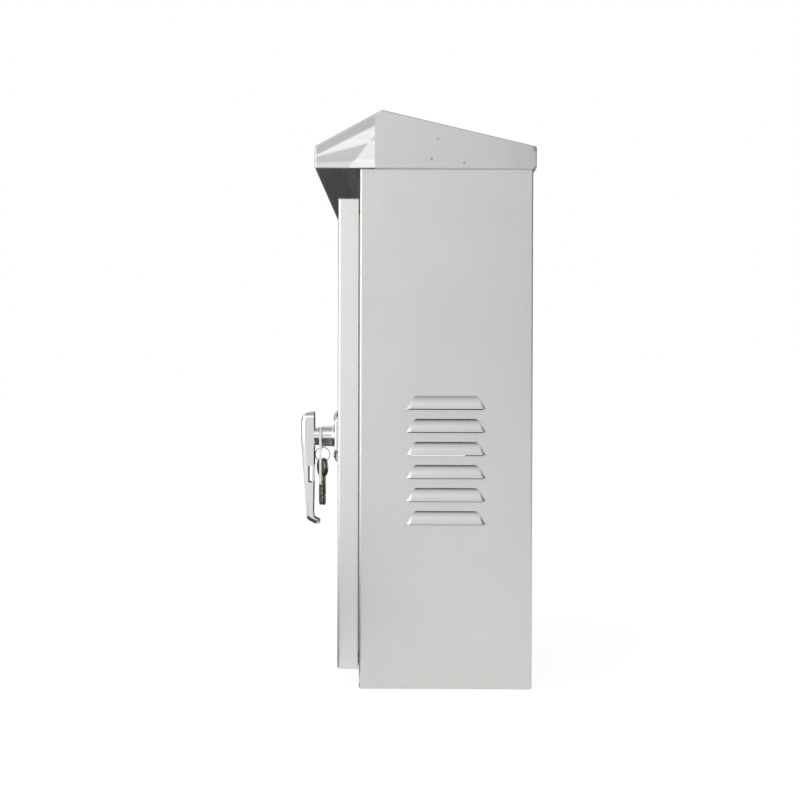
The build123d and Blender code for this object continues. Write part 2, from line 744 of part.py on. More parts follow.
def make_lock_housing():
    """Return the cast housing: rose, flare, barrel, neck and shank."""
    rose = extrude(rose_outline(0), ROSE_THICKNESS)
    rose = fillet(rose.faces().sort_by(Axis.Z)[-1].edges(), ROSE_EDGE_R)
    rose = Pos(LOCK_X, ahead(SEAL_THICKNESS), LOCK_Z) * Rot(90, 0, 0) * rose
    face = rose_face()
    top = BARREL_REACH + NECK_LENGTH
    bore = SHAFT_R + SHAFT_RUNNING_GAP
    eye = SPINDLE_SQUARE * 0.78
    step = SHAFT_INNER_END - SHAFT_RUNNING_GAP
    curve = ThreePointArc(
        (FLARE_R, face), (BARREL_R + 1.2, face + 0.35 * FLARE_LENGTH),
        (BARREL_R, face + FLARE_LENGTH),
    )
    outer = Polyline(
        (BARREL_R, face + FLARE_LENGTH), (BARREL_R, BARREL_REACH - 0.8),
        (BARREL_R - 0.8, BARREL_REACH), (NECK_R, BARREL_REACH), (NECK_R, top),
        (bore, top), (bore, step), (eye, step), (eye, -SHANK_LENGTH),
        (SHANK_R, -SHANK_LENGTH), (SHANK_R, face - 1.0), (FLARE_R, face - 1.0),
        (FLARE_R, face),
    )
    section = Plane.XZ * make_face([curve, outer.edges()])
    turned = revolve(section, Axis.Z)
    turned = Pos(LOCK_X, DOOR_FACE, LOCK_Z) * Rot(90, 0, 0) * turned
    rose -= rod_y(SHANK_R - 1, LOCK_X, ahead(face + 1), DOOR_FACE + 1, LOCK_Z)
    for z in lock_screw_places():
        rose -= rod_y(M5_R + SCREW_GAP, LOCK_X, ahead(face + 1), DOOR_FACE + 1, z)
    return rose + turned


def make_lock_screws():
    """Return the two pan-head screws through the rose and the door."""
    screws = []
    for z in lock_screw_places():
        seat = ahead(rose_face())
        head = Pos(LOCK_X, seat, z) * Rot(90, 0, 0) * pan_head(1.7 * M5_R, 0.9 * M5_R)
        end = DOOR_INNER + M5_NUT + 2.0
        screws.append(head + rod_y(M5_R, LOCK_X, seat - 1, end, z))
    return screws


def make_lock_nuts():
    """Return the nuts of the lock screws, inside the door."""
    return [nut_y(M5_FLATS, M5_NUT, M5_R, LOCK_X, DOOR_INNER, z) for z in lock_screw_places()]


def rounded_outline(places):
    """Return a polygon of (x, y, radius) corners, each rounded by its own radius."""
    outline = Polygon(*[(x, y) for x, y, _ in places], align=None)
    for x, y, radius in places:
        if radius > 0:
            nearest = outline.vertices().sort_by_distance((x, y, 0))[0]
            outline = fillet(nearest, radius)
    return outline


def lever_side():
    """Return the lever's side outline: x is how far it stands off the door, y is height."""
    low = -LEVER_BELOW
    back = LEVER_INNER_FACE
    tip = back - LEVER_CURL
    return rounded_outline([
        (back, LEVER_ABOVE, 0),
        (LEVER_OUTER_FACE, LEVER_ABOVE, LEVER_CROWN_R),
        (LEVER_OUTER_FACE, LEVER_BREAK, LEVER_BREAK_R),
        (lever_face(low + 5.5), low + 5.5, LEVER_KNEE_R),
        (tip + 4.5, low, 2.0),
        (tip, low + 0.5, 0),
        (tip, low + LEVER_TIP_HEIGHT, 0),
        (back - 0.1, low + LEVER_TIP_HEIGHT + 3.1, 3.0),
        (back + 1.0, low + LEVER_TIP_HEIGHT + 9.5, 6.0),
        (back, -31.7, 0),
    ])


def lever_face(z):
    """Return how far the lever's outer face stands off the door at a height below the break."""
    return LEVER_OUTER_FACE - (LEVER_BREAK - z) * LEVER_LEAN


def lever_prism(outline, half):
    """Return a side outline as a solid across the lever, narrower towards the tip."""
    plane = Plane(origin=(half, 0, 0), x_dir=(0, -1, 0), z_dir=(-1, 0, 0))
    solid = extrude(plane * outline, 2 * half, dir=(-1, 0, 0))
    length = LEVER_ABOVE + LEVER_BELOW
    taper = math.degrees(math.atan2(LEVER_HEAD_HALF - LEVER_GRIP_HALF, length))
    for side in (-1, 1):
        corner = Pos(side * half, 0, LEVER_ABOVE) * Rot(0, side * taper, 0)
        solid -= corner * Pos(side * half, 0, 0) * Box(2 * half, 2 * length, 4 * length)
    return solid


def lever_pocket():
    """Return the hollow in the lever's back, below the hub."""
    top, end = -LEVER_POCKET_TOP, -LEVER_POCKET_END
    mouth = LEVER_INNER_FACE - 2 * LEVER_WALL
    outline = rounded_outline([
        (mouth, top, 0),
        (lever_face(top) - LEVER_WALL, top, 2.0),
        (lever_face(end) - LEVER_WALL, end, 2.0),
        (mouth, end, 0),
    ])
    return lever_prism(outline, LEVER_HEAD_HALF - LEVER_WALL)


def make_lever_handle():
    """Return the cast lever: crowned arm, hollow back, hub and hollow shaft."""
    arm = lever_prism(lever_side(), LEVER_HEAD_HALF)
    walls = arm.faces().group_by(SortBy.AREA)[-2:]
    walls = [face for group in walls for face in group if abs(face.normal_at().X) > 0.9]
    outer = -LEVER_OUTER_FACE + 0.1
    rims = [e for wall in walls for e in wall.edges() if e.bounding_box().min.Y < outer]
    arm = fillet(rims, LEVER_EDGE_R)
    length = LEVER_ABOVE + LEVER_BELOW
    front = Pos(0, LEVER_ABOVE - length / 2) * Rectangle(2 * LEVER_HEAD_HALF, length + 2)
    front = Pos(0, -1) * front
    front = fillet(front.vertices().group_by(Axis.Y)[-1], LEVER_SHOULDER_R)
    arm = arm & extrude(Plane.XZ * front, 2 * LEVER_OUTER_FACE)
    arm -= lever_pocket()
    reach = 2 * LEVER_HEAD_HALF
    slot = block(
        -reach, reach, -LEVER_SLOT_DEPTH - LEVER_SLOT_WIDTH, -LEVER_SLOT_DEPTH,
        -LEVER_SLOT_TOP - LEVER_SLOT_LENGTH, -LEVER_SLOT_TOP,
    )
    arm -= fillet(slot.edges().filter_by(Axis.X), LEVER_SLOT_WIDTH * 0.3)
    hub_end = BARREL_REACH + NECK_LENGTH + LEVER_HUB_GAP
    arm += rod_y(LEVER_HUB_R, 0, -LEVER_INNER_FACE - 1, -hub_end, 0)
    arm += rod_y(SHAFT_R, 0, -LEVER_INNER_FACE - 1, -SHAFT_INNER_END, 0)
    arm -= rod_y(CYLINDER_R, 0, -2 * LEVER_OUTER_FACE, -CYLINDER_END, 0)
    half = SPINDLE_SQUARE / 2 + SPINDLE_FIT
    arm -= block(-half, half, -SHAFT_INNER_END - SPINDLE_SOCKET, 0, -half, half)
    arm -= rod_x(SPINDLE_PIN_R, -reach, reach, spindle_pin_y() - DOOR_FACE, 0)
    return Pos(LOCK_X, DOOR_FACE, LOCK_Z) * arm


def spindle_pin_y():
    """Return the y of the cross pin, halfway along the spindle's socket."""
    return ahead(SHAFT_INNER_END + SPINDLE_SOCKET / 2)


def make_lock_cylinder():
    """Return the cylinder's sleeve, fixed in the lever."""
    y0, y1 = ahead(CYLINDER_FACE), ahead(CYLINDER_END)
    sleeve = rod_y(CYLINDER_R, LOCK_X, y0, y1, LOCK_Z)
    bore = rod_y(PLUG_R + PLUG_RUNNING_GAP, LOCK_X, y0 - 1, y1 - 1.0, LOCK_Z)
    return sleeve - bore


def make_key_plug():
    """Return the plug that the key turns, with its keyway."""
    y0 = ahead(CYLINDER_FACE - PLUG_RECESS)
    y1 = ahead(CYLINDER_END + 1.0) - PLUG_RUNNING_GAP
    plug = rod_y(PLUG_R, LOCK_X, y0, y1, LOCK_Z)
    plug = chamfer(plug.edges().group_by(Axis.Y)[0], 0.4)
    half = KEYWAY_HEIGHT / 2
    side = KEYWAY_WIDTH / 2
    keyway = block(
        LOCK_X - side, LOCK_X + side, y0 - 1, y0 + KEYWAY_DEPTH, LOCK_Z - half, LOCK_Z + half
    )
    return plug - keyway


def make_spindle():
    """Return the square spindle, with a threaded end for the cam's nut."""
    half = SPINDLE_SQUARE / 2
    start = ahead(SHAFT_INNER_END + SPINDLE_SOCKET)
    square = block(LOCK_X - half, LOCK_X + half, start, CAM_REAR - 0.3, LOCK_Z - half, LOCK_Z + half)
    end = CAM_REAR + WASHER + M6_NUT + 3.0
    spindle = square + rod_y(M6_R, LOCK_X, CAM_REAR - 1, end, LOCK_Z)
    return spindle - rod_x(SPINDLE_PIN_R, LOCK_X - 20, LOCK_X + 20, spindle_pin_y(), LOCK_Z)


def make_spindle_pin():
    """Return the pin that holds the spindle in the lever's shaft."""
    half = SHAFT_R - 3 * SHAFT_RUNNING_GAP
    return rod_x(SPINDLE_PIN_R, LOCK_X - half, LOCK_X + half, spindle_pin_y(), LOCK_Z)


def make_cam_spacer():
    """Return the tube between the housing's shank and the cam."""
    y0 = DOOR_FACE + SHANK_LENGTH + SPACER_GAP
    tube = rod_y(SPACER_R, LOCK_X, y0, CAM_FRONT, LOCK_Z)
    bore_r = SPINDLE_SQUARE / math.sqrt(2) + SPINDLE_FIT
    return tube - rod_y(bore_r, LOCK_X, y0 - 1, CAM_FRONT + 1, LOCK_Z)


def make_latch_cam():
    """Return the cam that reaches behind the front frame, with a ramp at its tip."""
    tip_x = LIP_X - SHEET + CAM_OVERLAP - LOCK_X
    hub = Circle(CAM_HUB_R)
    tip = Pos(tip_x - CAM_TIP_R, 0) * Circle(CAM_TIP_R)
    outline = make_hull(hub.edges() + tip.edges())
    cam = extrude(outline, CAM_THICKNESS)
    cam = Pos(LOCK_X, CAM_REAR, LOCK_Z) * Rot(90, 0, 0) * cam
    half = SPINDLE_SQUARE / 2 + SPINDLE_FIT
    cam -= block(
        LOCK_X - half, LOCK_X + half, CAM_FRONT - 1, CAM_REAR + 1, LOCK_Z - half, LOCK_Z + half
    )
    ramp = Pos(LOCK_X + tip_x, CAM_FRONT, LOCK_Z) * Rot(0, 0, 25)
    return cam - ramp * Box(4 * CAM_TIP_R, CAM_THICKNESS * 0.6, 6 * CAM_TIP_R)


def make_cam_washer():
    """Return the washer behind the cam."""
    washer = rod_y(2.2 * M6_R, LOCK_X, CAM_REAR, CAM_REAR + WASHER, LOCK_Z)
    return washer - rod_y(M6_R + THREAD_GAP, LOCK_X, CAM_REAR - 1, CAM_REAR + 5, LOCK_Z)


def make_cam_nut():
    """Return the nut that holds the cam on the spindle."""
    return nut_y(M6_FLATS, M6_NUT, M6_R, LOCK_X, CAM_REAR + WASHER, LOCK_Z)


def make_key_tie():
    """Return the cable tie: a drop-shaped loop, its head and its hanging tail."""
    neck = NECK_R + TIE_GAP

    def drop(grow):
        round_neck = Circle(neck + grow)
        round_ring = Pos(0, -RING_DROP) * Circle(TIE_LOOP_R + grow)
        return make_hull(round_neck.edges() + round_ring.edges())

    depth = BARREL_REACH + NECK_LENGTH / 2
    loop = extrude(drop(TIE_THICKNESS) - drop(0), TIE_WIDTH / 2, both=True)
    head_x = neck + TIE_THICKNESS
    head = Pos(head_x + 1.4, -1.0, 0) * Box(3.6, 4.6, NECK_LENGTH - 0.2)
    head = fillet(head.edges().filter_by(Axis.Y), 0.7)
    tail_x = head_x + 1.9
    tail = Pos(tail_x, -1.0 - TIE_TAIL / 2, 0) * Box(TIE_THICKNESS, TIE_TAIL, TIE_WIDTH)
    tail = fillet(tail.edges().filter_by(Axis.Z).group_by(Axis.Y)[0], TIE_THICKNESS * 0.4)
    tie = loop + head + tail
    tie -= Cylinder(neck, 20)
    return Pos(LOCK_X, ahead(depth), LOCK_Z) * Rot(90, 0, 0) * tie


def make_key_ring():
    """Return the split ring, which hangs in the loop of the tie."""
    mean_r = RING_OUTER_R - RING_WIRE_R
    ring = Rot(0, 90, 0) * Torus(mean_r, RING_WIRE_R)
    return Pos(LOCK_X, ahead(RING_DEPTH), LOCK_Z - RING_DROP - mean_r) * ring


def make_key(order):
    """Return one key, hanging from the bottom of the ring."""
    mean_r = RING_OUTER_R - RING_WIRE_R
    hole_z = LOCK_Z - RING_DROP - 2 * mean_r + RING_WIRE_R + KEY_RING_GAP - KEY_HOLE_R
    bow = Pos(0, KEY_HOLE_R + KEY_RIM - KEY_BOW_R) * Circle(KEY_BOW_R)
    end = KEY_HOLE_R + KEY_RIM - KEY_LENGTH
    half = KEY_BLADE_WIDTH / 2
    blade = Polygon(
        (-half, -KEY_BOW_R), (half, -KEY_BOW_R), (half, end + half), (half * 0.2, end),
        (-half * 0.4, end), (-half, end + half), align=None,
    )
    cut_pitch = (KEY_LENGTH - 2 * KEY_BOW_R - KEY_BLADE_WIDTH) / KEY_CUTS
    outline = bow + blade - Circle(KEY_HOLE_R)
    for i in range(KEY_CUTS):
        bite = 0.9 + 0.5 * ((i * (order + 2)) % 3)
        z = end + KEY_BLADE_WIDTH * 0.8 + i * cut_pitch
        outline -= Pos(half, z) * Rotation(0, 0, 45) * Rectangle(bite * 1.5, bite * 1.5)
    key = extrude(outline, KEY_THICKNESS / 2, both=True)
    groove = Pos(-half * 0.2, end, KEY_THICKNESS / 2)
    length = KEY_LENGTH - 2 * KEY_BOW_R + 2
    key -= groove * Box(1.6, 2 * length, 0.9)
    offset_y = (order - 0.5) * KEY_SPACING / math.cos(math.radians(KEY_TURN))
    place = Pos(LOCK_X, ahead(RING_DEPTH) - offset_y, hole_z)
    return place * Rot(0, 0, KEY_TURN) * Rot(90, 0, 0) * key


def pieces():
    """Return every piece by its name."""
    built = {
        "body_shell": make_body_shell(),
        "roof_front": make_roof_half(True),
        "roof_rear": make_roof_half(False),
        "roof_screws": make_roof_screws(),
        "roof_weld_nuts": make_roof_weld_nuts(),
        "cable_plate": make_cable_plate(),
        "cable_plate_studs": make_cable_plate_studs(),
        "cable_plate_nuts": make_cable_plate_nuts(),
        "mounting_plate": make_mounting_plate(),
        "plate_studs": make_plate_studs(),
        "plate_washers": make_plate_washers(),
        "plate_nuts": make_plate_nuts(),
        "earth_stud": make_earth_stud(),
        "earth_washer": make_earth_washer(),
        "earth_nut": make_earth_nut(),
        "door_panel": make_door_panel(),
        "door_gasket": make_door_gasket(),
        "hinge_screws": make_hinge_screws(),
        "hinge_nuts": make_hinge_nuts(),
        "lock_seal": make_lock_seal(),
        "lock_housing": make_lock_housing(),
        "lock_screws": make_lock_screws(),
        "lock_nuts": make_lock_nuts(),
        "lever_handle": make_lever_handle(),
        "lock_cylinder": make_lock_cylinder(),
        "key_plug": make_key_plug(),
        "spindle": make_spindle(),
        "spindle_pin": make_spindle_pin(),
        "cam_spacer": make_cam_spacer(),
        "latch_cam": make_latch_cam(),
        "cam_washer": make_cam_washer(),
        "cam_nut": make_cam_nut(),
        "key_tie": make_key_tie(),
        "key_ring": make_key_ring(),
        "key_1": make_key(0),
        "key_2": make_key(1),
    }
    for level, centre_z in (("lower", HINGE_LOW_Z), ("upper", HINGE_HIGH_Z)):
        built[f"hinge_body_leaf_{level}"] = make_hinge_body_leaf(centre_z)
        built[f"hinge_pin_{level}"] = make_hinge_pin(centre_z)
        built[f"hinge_washer_{level}"] = make_hinge_washer(centre_z)
        built[f"hinge_door_leaf_{level}"] = make_hinge_door_leaf(centre_z)
    for i, x in enumerate(grommet_xs(), 1):
        built[f"cable_grommet_{i}"] = make_grommet(x)
    return built


os.makedirs("parts", exist_ok=True)
for name, piece in pieces().items():
    solids = piece if isinstance(piece, list) else [piece]
    bodies = [solid for part in solids for solid in part.solids()]
    export_step(Compound(bodies), f"parts/{name}.step")
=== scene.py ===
"""The looks of a wall-mounted stainless-steel utility cabinet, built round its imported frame.

Every length in the classes is in millimetres, in the cabinet's own frame: origin in the
middle of the base, x to the right seen from the front, y to the back, z up.
"""

import logging
import math
from dataclasses import dataclass, field
from enum import Enum
from typing import Any, Callable, Iterable, Mapping

import bmesh
import bpy
from mathutils import Matrix, Vector


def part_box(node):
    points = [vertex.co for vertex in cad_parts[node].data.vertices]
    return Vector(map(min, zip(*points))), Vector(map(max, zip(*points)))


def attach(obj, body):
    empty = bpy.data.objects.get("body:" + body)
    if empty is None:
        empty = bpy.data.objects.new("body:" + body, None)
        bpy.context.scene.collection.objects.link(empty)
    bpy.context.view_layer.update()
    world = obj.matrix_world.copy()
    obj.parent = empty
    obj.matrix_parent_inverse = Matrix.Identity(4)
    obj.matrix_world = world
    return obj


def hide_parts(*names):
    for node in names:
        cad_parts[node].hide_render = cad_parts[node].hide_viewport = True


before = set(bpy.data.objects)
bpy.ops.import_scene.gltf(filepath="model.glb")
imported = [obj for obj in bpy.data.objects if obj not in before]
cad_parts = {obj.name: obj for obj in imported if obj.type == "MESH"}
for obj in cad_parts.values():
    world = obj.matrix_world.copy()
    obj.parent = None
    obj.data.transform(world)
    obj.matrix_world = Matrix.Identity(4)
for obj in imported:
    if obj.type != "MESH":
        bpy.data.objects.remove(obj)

LOG = logging.getLogger("cabinet")
MM = 0.001
MERGE_MM = 0.001

# Noise seldom leaves this span, so patterns are stretched over it.
NOISE_SPAN = (0.3, 0.7)

# The depth of a metric thread, as a share of its pitch.
THREAD_DEPTH = 0.61

# How far a thread runs into the solid part that it grows from.
THREAD_ROOT_MM = 0.2

# The radius of a hexagon's turned face, as a share of its size across the flats.
HEXAGON_FACE = 0.475


class Body(Enum):
    """The bodies that pieces ride on."""

    CABINET = "cabinet"
    DOOR = "door"
    LEVER = "lever"
    PLUG = "key_plug"
    KEYS = "keys"


class Along(Enum):
    """The direction that a grain runs in, as the scale that stretches it."""

    X = (0.02, 1.0, 1.0)
    Y = (1.0, 0.02, 1.0)
    Z = (1.0, 1.0, 0.02)


class Metric(Enum):
    """Metric threads, as nominal radius, pitch and the size of the nut across its flats."""

    M4 = (2.0, 0.7, 7.0)
    M5 = (2.5, 0.8, 8.0)
    M6 = (3.0, 1.0, 10.0)
    M8 = (4.0, 1.25, 13.0)

    @property
    def radius(self) -> float:
        """Return the radius over the crests."""
        return self.value[0]

    @property
    def pitch(self) -> float:
        """Return the distance between two crests."""
        return self.value[1]

    @property
    def flats(self) -> float:
        """Return the size of its nut or hexagon head across the flats."""
        return self.value[2]

    @property
    def root(self) -> float:
        """Return the radius at the root of the thread."""
        return self.radius - THREAD_DEPTH * self.pitch


def linear(code: str) -> tuple[float, float, float, float]:
    """Turn an sRGB hex colour into the linear values that nodes take.

    Args:
        code: Six hex digits after a hash sign.

    Returns:
        Linear red, green, blue and an alpha of one.
    """
    parts = [int(code[i:i + 2], 16) / 255 for i in (1, 3, 5)]
    red, green, blue = (
        v / 12.92 if v <= 0.04045 else ((v + 0.055) / 1.055) ** 2.4 for v in parts
    )
    return (red, green, blue, 1.0)


def per_metre(size_mm: float) -> float:
    """Return the texture scale at which one feature is this many millimetres wide."""
    return 1.0 / (size_mm * MM)


def add_node(
    tree: bpy.types.NodeTree, kind: str, inputs: Mapping[Any, Any] | None = None, **settings: Any
) -> bpy.types.Node:
    """Add one node to a tree, with its settings, values and links.

    Args:
        tree: The node tree.
        kind: The node's type name.
        inputs: Input names or numbers, each with a value or an output socket to link.
        **settings: Properties of the node itself.

    Returns:
        The new node.
    """
    node = tree.nodes.new(kind)
    for name, value in settings.items():
        setattr(node, name, value)
    for key, value in (inputs or {}).items():
        if isinstance(value, bpy.types.NodeSocket):
            tree.links.new(value, node.inputs[key])
        else:
            node.inputs[key].default_value = value
    return node


def noise(tree: Any, vector: Any, size_mm: float, detail: float, rough: float = 0.5) -> Any:
    """Add a noise.

    Args:
        tree: The node tree.
        vector: The coordinates' socket.
        size_mm: The size of its features.
        detail: How many finer layers it has.
        rough: How strong the finer layers are.

    Returns:
        The socket of its value, from nought to one.
    """
    return add_node(tree, "ShaderNodeTexNoise", {
        "Vector": vector, "Scale": per_metre(size_mm), "Detail": detail, "Roughness": rough,
    }).outputs["Fac"]


def remap(
    tree: Any, value: Any, span: tuple[float, float], result: tuple[float, float] = (0.0, 1.0),
    **settings: Any
) -> Any:
    """Stretch a value from one span to another, and hold it within that.

    Args:
        tree: The node tree.
        value: The value's socket.
        span: The values that become the ends of the result.
        result: The ends of the result.
        **settings: Properties of the node itself.

    Returns:
        The result's socket.
    """
    return add_node(tree, "ShaderNodeMapRange", {
        "Value": value, "From Min": span[0], "From Max": span[1],
        "To Min": result[0], "To Max": result[1],
    }, **settings).outputs["Result"]


def blend(tree: Any, factor: Any, one: Any, other: Any) -> Any:
    """Return the socket of a colour between two others."""
    return add_node(tree, "ShaderNodeMix", {0: factor, 6: one, 7: other},
                    data_type="RGBA").outputs[2]


def bump(
    tree: Any, height: Any, distance: float, under: Any = None, strength: float = 1.0
) -> Any:
    """Add a relief.

    Args:
        tree: The node tree.
        height: The socket of its height.
        distance: How far a height of one stands out, in metres.
        under: The socket of the normal that it lies on, if it isn't the surface's own.
        strength: How much of it shows, from nought to one.

    Returns:
        The socket of its normal.
    """
    inputs = {"Strength": strength, "Distance": distance, "Height": height}
    if under is not None:
        inputs["Normal"] = under
    return add_node(tree, "ShaderNodeBump", inputs).outputs["Normal"]


def drawn_out(tree: Any, coords: Any, along: Along) -> Any:
    """Return the socket of coordinates in which a pattern runs long one way."""
    return add_node(tree, "ShaderNodeMapping", {
        "Vector": coords, "Scale": along.value,
    }).outputs["Vector"]


@dataclass(frozen=True)
class Finish:
    """A surface, dressed by its own nodes. Subclasses say what the real one is.

    Attributes:
        name: The material's name.
        colour: The base colour as an sRGB hex code.
        roughness: The typical roughness.
        metallic: One for a metal and nought for the rest.
        mottle: How far the colour and the roughness vary, as a share.
        mottle_mm: The size of that variation.
    """

    name: str
    colour: str
    roughness: float
    metallic: float = 1.0
    mottle: float = 0.05
    mottle_mm: float = 40.0

    def material(self) -> bpy.types.Material:
        """Return the finish's material, made once."""
        made = bpy.data.materials.get(self.name)
        return made or self.make()

    def make(self) -> bpy.types.Material:
        """Build the material.

        Returns:
            The new material.
        """
        made = bpy.data.materials.new(self.name)
        made.use_nodes = True
        tree = made.node_tree
        tree.nodes.clear()
        coords = add_node(tree, "ShaderNodeTexCoord").outputs["Object"]
        cloud = noise(tree, coords, self.mottle_mm, detail=3.0, rough=0.55)
        shader = add_node(tree, "ShaderNodeBsdfPrincipled", {
            "Base Color": self.tinted(tree, coords, cloud),
            "Roughness": self.worn(tree, coords, cloud),
            "Metallic": self.metallic,
        })
        relief = self.relief(tree, coords)
        if relief is not None:
            tree.links.new(relief, shader.inputs["Normal"])
        self.extras(shader)
        add_node(tree, "ShaderNodeOutputMaterial", {"Surface": shader.outputs["BSDF"]})
        return made

    def tinted(self, tree: Any, coords: Any, cloud: Any) -> Any:
        """Return the colour socket, lighter and darker in clouds."""
        base = linear(self.colour)
        low = tuple(v * (1 - self.mottle) for v in base[:3]) + (1.0,)
        high = tuple(min(1.0, v * (1 + self.mottle)) for v in base[:3]) + (1.0,)
        return blend(tree, remap(tree, cloud, NOISE_SPAN), low, high)

    def worn(self, tree: Any, coords: Any, cloud: Any) -> Any:
        """Return the roughness socket, which varies twice as far as the colour."""
        spread = self.mottle * self.roughness * 2
        ends = (self.roughness - spread, self.roughness + spread)
        return remap(tree, cloud, NOISE_SPAN, ends)

    def relief(self, tree: Any, coords: Any) -> Any:
        """Return a normal socket, or None where the surface is plain."""
        return None

    def extras(self, shader: bpy.types.Node) -> None:
        """Set what only this finish has on the shader's own sockets."""


@dataclass(frozen=True)
class RolledSheet(Finish):
    """Cold-rolled matt stainless sheet: dull, even, with long faint rolling lines.

    The flat panels aren't quite flat, so that what they mirror drifts in slow clouds.

    Attributes:
        along: The direction the sheet was rolled in.
        grain_mm: The spacing of the rolling lines, as coarse as they need to be to show.
        grain_depth: How deep the lines are, in millimetres.
        grain_gloss: How far the lines move the roughness up and down.
        wave_mm: The size of the panels' unevenness.
        wave_depth: How far the panels are out of flat, in millimetres.
    """

    along: Along = Along.Z
    grain_mm: float = 2.2
    grain_depth: float = 0.0035
    grain_gloss: float = 0.03
    wave_mm: float = 150.0
    wave_depth: float = 0.55

    def grain(self, tree: Any, coords: Any) -> Any:
        """Return the height of the rolling lines, from nought to one."""
        lines = drawn_out(tree, coords, self.along)
        return noise(tree, lines, self.grain_mm, detail=4.0, rough=0.6)

    def relief(self, tree: Any, coords: Any) -> Any:
        """Return the normal of the rolling lines on the slow waves of the panel."""
        fine = bump(tree, self.grain(tree, coords), self.grain_depth * MM)
        waves = noise(tree, coords, self.wave_mm, detail=1.0, rough=0.4)
        return bump(tree, waves, self.wave_depth * MM, under=fine)

    def worn(self, tree: Any, coords: Any, cloud: Any) -> Any:
        """Return the roughness socket, with the rolling lines in it."""
        base = super().worn(tree, coords, cloud)
        ends = (-self.grain_gloss, self.grain_gloss)
        lines = remap(tree, self.grain(tree, coords), NOISE_SPAN, ends)
        return add_node(tree, "ShaderNodeMath", {0: base, 1: lines}, operation="ADD").outputs[0]


@dataclass(frozen=True)
class WeldedSheet(RolledSheet):
    """Roof sheet, with warm grey spots, most of them heat tint at welds, and panels that welding
    has pulled in.

    Attributes:
        spots: Warm grey spots on the gables, at spot welds and at the rear corner, each as y, z
            and radius.
        creases: Lines in the gable, each as y, z, the angle it runs at and the lean of the
            sheet below it.
        tint: The colour of the spots.
        tint_strength: How strong it is in the middle of a spot.
        tint_core: How far the middle reaches, as a share of the spot's radius.
        fold_mm: How softly the sheet bends at a crease.
    """

    spots: tuple[tuple[float, float, float], ...] = ()
    creases: tuple[tuple[float, float, float, float], ...] = ()
    tint: str = "#8E8A84"
    tint_strength: float = 0.75
    tint_core: float = 0.35
    fold_mm: float = 2.0

    def flat(self, tree: Any, coords: Any) -> Any:
        """Return the coordinates with x taken out, so that both gables are alike."""
        return add_node(tree, "ShaderNodeVectorMath", {0: coords, 1: (0.0, 1.0, 1.0)},
                        operation="MULTIPLY").outputs["Vector"]

    def tinted(self, tree: Any, coords: Any, cloud: Any) -> Any:
        """Return the sheet's colour with the warm grey spots in it."""
        colour = super().tinted(tree, coords, cloud)
        flat = self.flat(tree, coords)
        for y, z, radius in self.spots:
            away = add_node(tree, "ShaderNodeVectorMath", {0: flat, 1: (0.0, y * MM, z * MM)},
                            operation="DISTANCE").outputs["Value"]
            rim = (radius * MM * self.tint_core, radius * MM)
            mask = remap(tree, away, rim, (self.tint_strength, 0.0),
                         interpolation_type="SMOOTHSTEP")
            colour = blend(tree, mask, colour, linear(self.tint))
        return colour

    def relief(self, tree: Any, coords: Any) -> Any:
        """Return the sheet's normal, bent where the welding has pulled the gable in."""
        normal = super().relief(tree, coords)
        flat = self.flat(tree, coords)
        for y, z, angle, lean in self.creases:
            turn = math.radians(angle)
            down = (0.0, math.sin(turn), -math.cos(turn))
            offset = y * MM * down[1] + z * MM * down[2]
            depth = add_node(tree, "ShaderNodeVectorMath", {0: flat, 1: down},
                             operation="DOT_PRODUCT").outputs["Value"]
            past = add_node(tree, "ShaderNodeMath", {0: depth, 1: offset},
                            operation="SUBTRACT").outputs[0]
            below = add_node(tree, "ShaderNodeMath", {
                0: past, 1: 0.0, 2: self.fold_mm * MM,
            }, operation="SMOOTH_MAX").outputs[0]
            normal = bump(tree, below, -math.tan(math.radians(lean)), under=normal)
        return normal


@dataclass(frozen=True)
class CastChrome(Finish):
    """Zinc die casting, polished and satin-chromed: clean mirrors with a slow ripple.

    Attributes:
        ripple_mm: The size of the ripples that polishing leaves.
        ripple_depth: How deep they are, in millimetres.
    """

    ripple_mm: float = 9.0
    ripple_depth: float = 0.03

    def relief(self, tree: Any, coords: Any) -> Any:
        """Return the normal of the polishing ripples."""
        ripple = noise(tree, coords, self.ripple_mm, detail=2.0)
        return bump(tree, ripple, self.ripple_depth * MM)


@dataclass(frozen=True)
class TurnedMetal(Finish):
    """Bar or wire worked by a tool: fine marks that run one way, with a plated skin.

    Attributes:
        along: The direction the marks run in.
        mark_mm: Their spacing, as coarse as they need to be to show.
        mark_depth: How deep they are, in millimetres.
    """

    along: Along = Along.X
    mark_mm: float = 0.6
    mark_depth: float = 0.008

    def relief(self, tree: Any, coords: Any) -> Any:
        """Return the normal of the tool marks."""
        marks = noise(tree, drawn_out(tree, coords, self.along), self.mark_mm, detail=2.0)
        return bump(tree, marks, self.mark_depth * MM)


@dataclass(frozen=True)
class Galvanised(Finish):
    """Hot-dip galvanised sheet: flat zinc crystals, each with a sheen of its own.

    Attributes:
        spangle_mm: The size of a crystal.
    """

    spangle_mm: float = 9.0

    def crystals(self, tree: Any, coords: Any) -> Any:
        """Return a value for each crystal, from nought to one."""
        cells = add_node(tree, "ShaderNodeTexVoronoi", {
            "Vector": coords, "Scale": per_metre(self.spangle_mm), "Randomness": 1.0,
        }).outputs["Color"]
        return add_node(tree, "ShaderNodeSeparateColor", {"Color": cells}).outputs["Red"]

    def tinted(self, tree: Any, coords: Any, cloud: Any) -> Any:
        """Return the colour of the crystals."""
        return super().tinted(tree, coords, self.crystals(tree, coords))

    def worn(self, tree: Any, coords: Any, cloud: Any) -> Any:
        """Return the roughness of the crystals."""
        return super().worn(tree, coords, self.crystals(tree, coords))


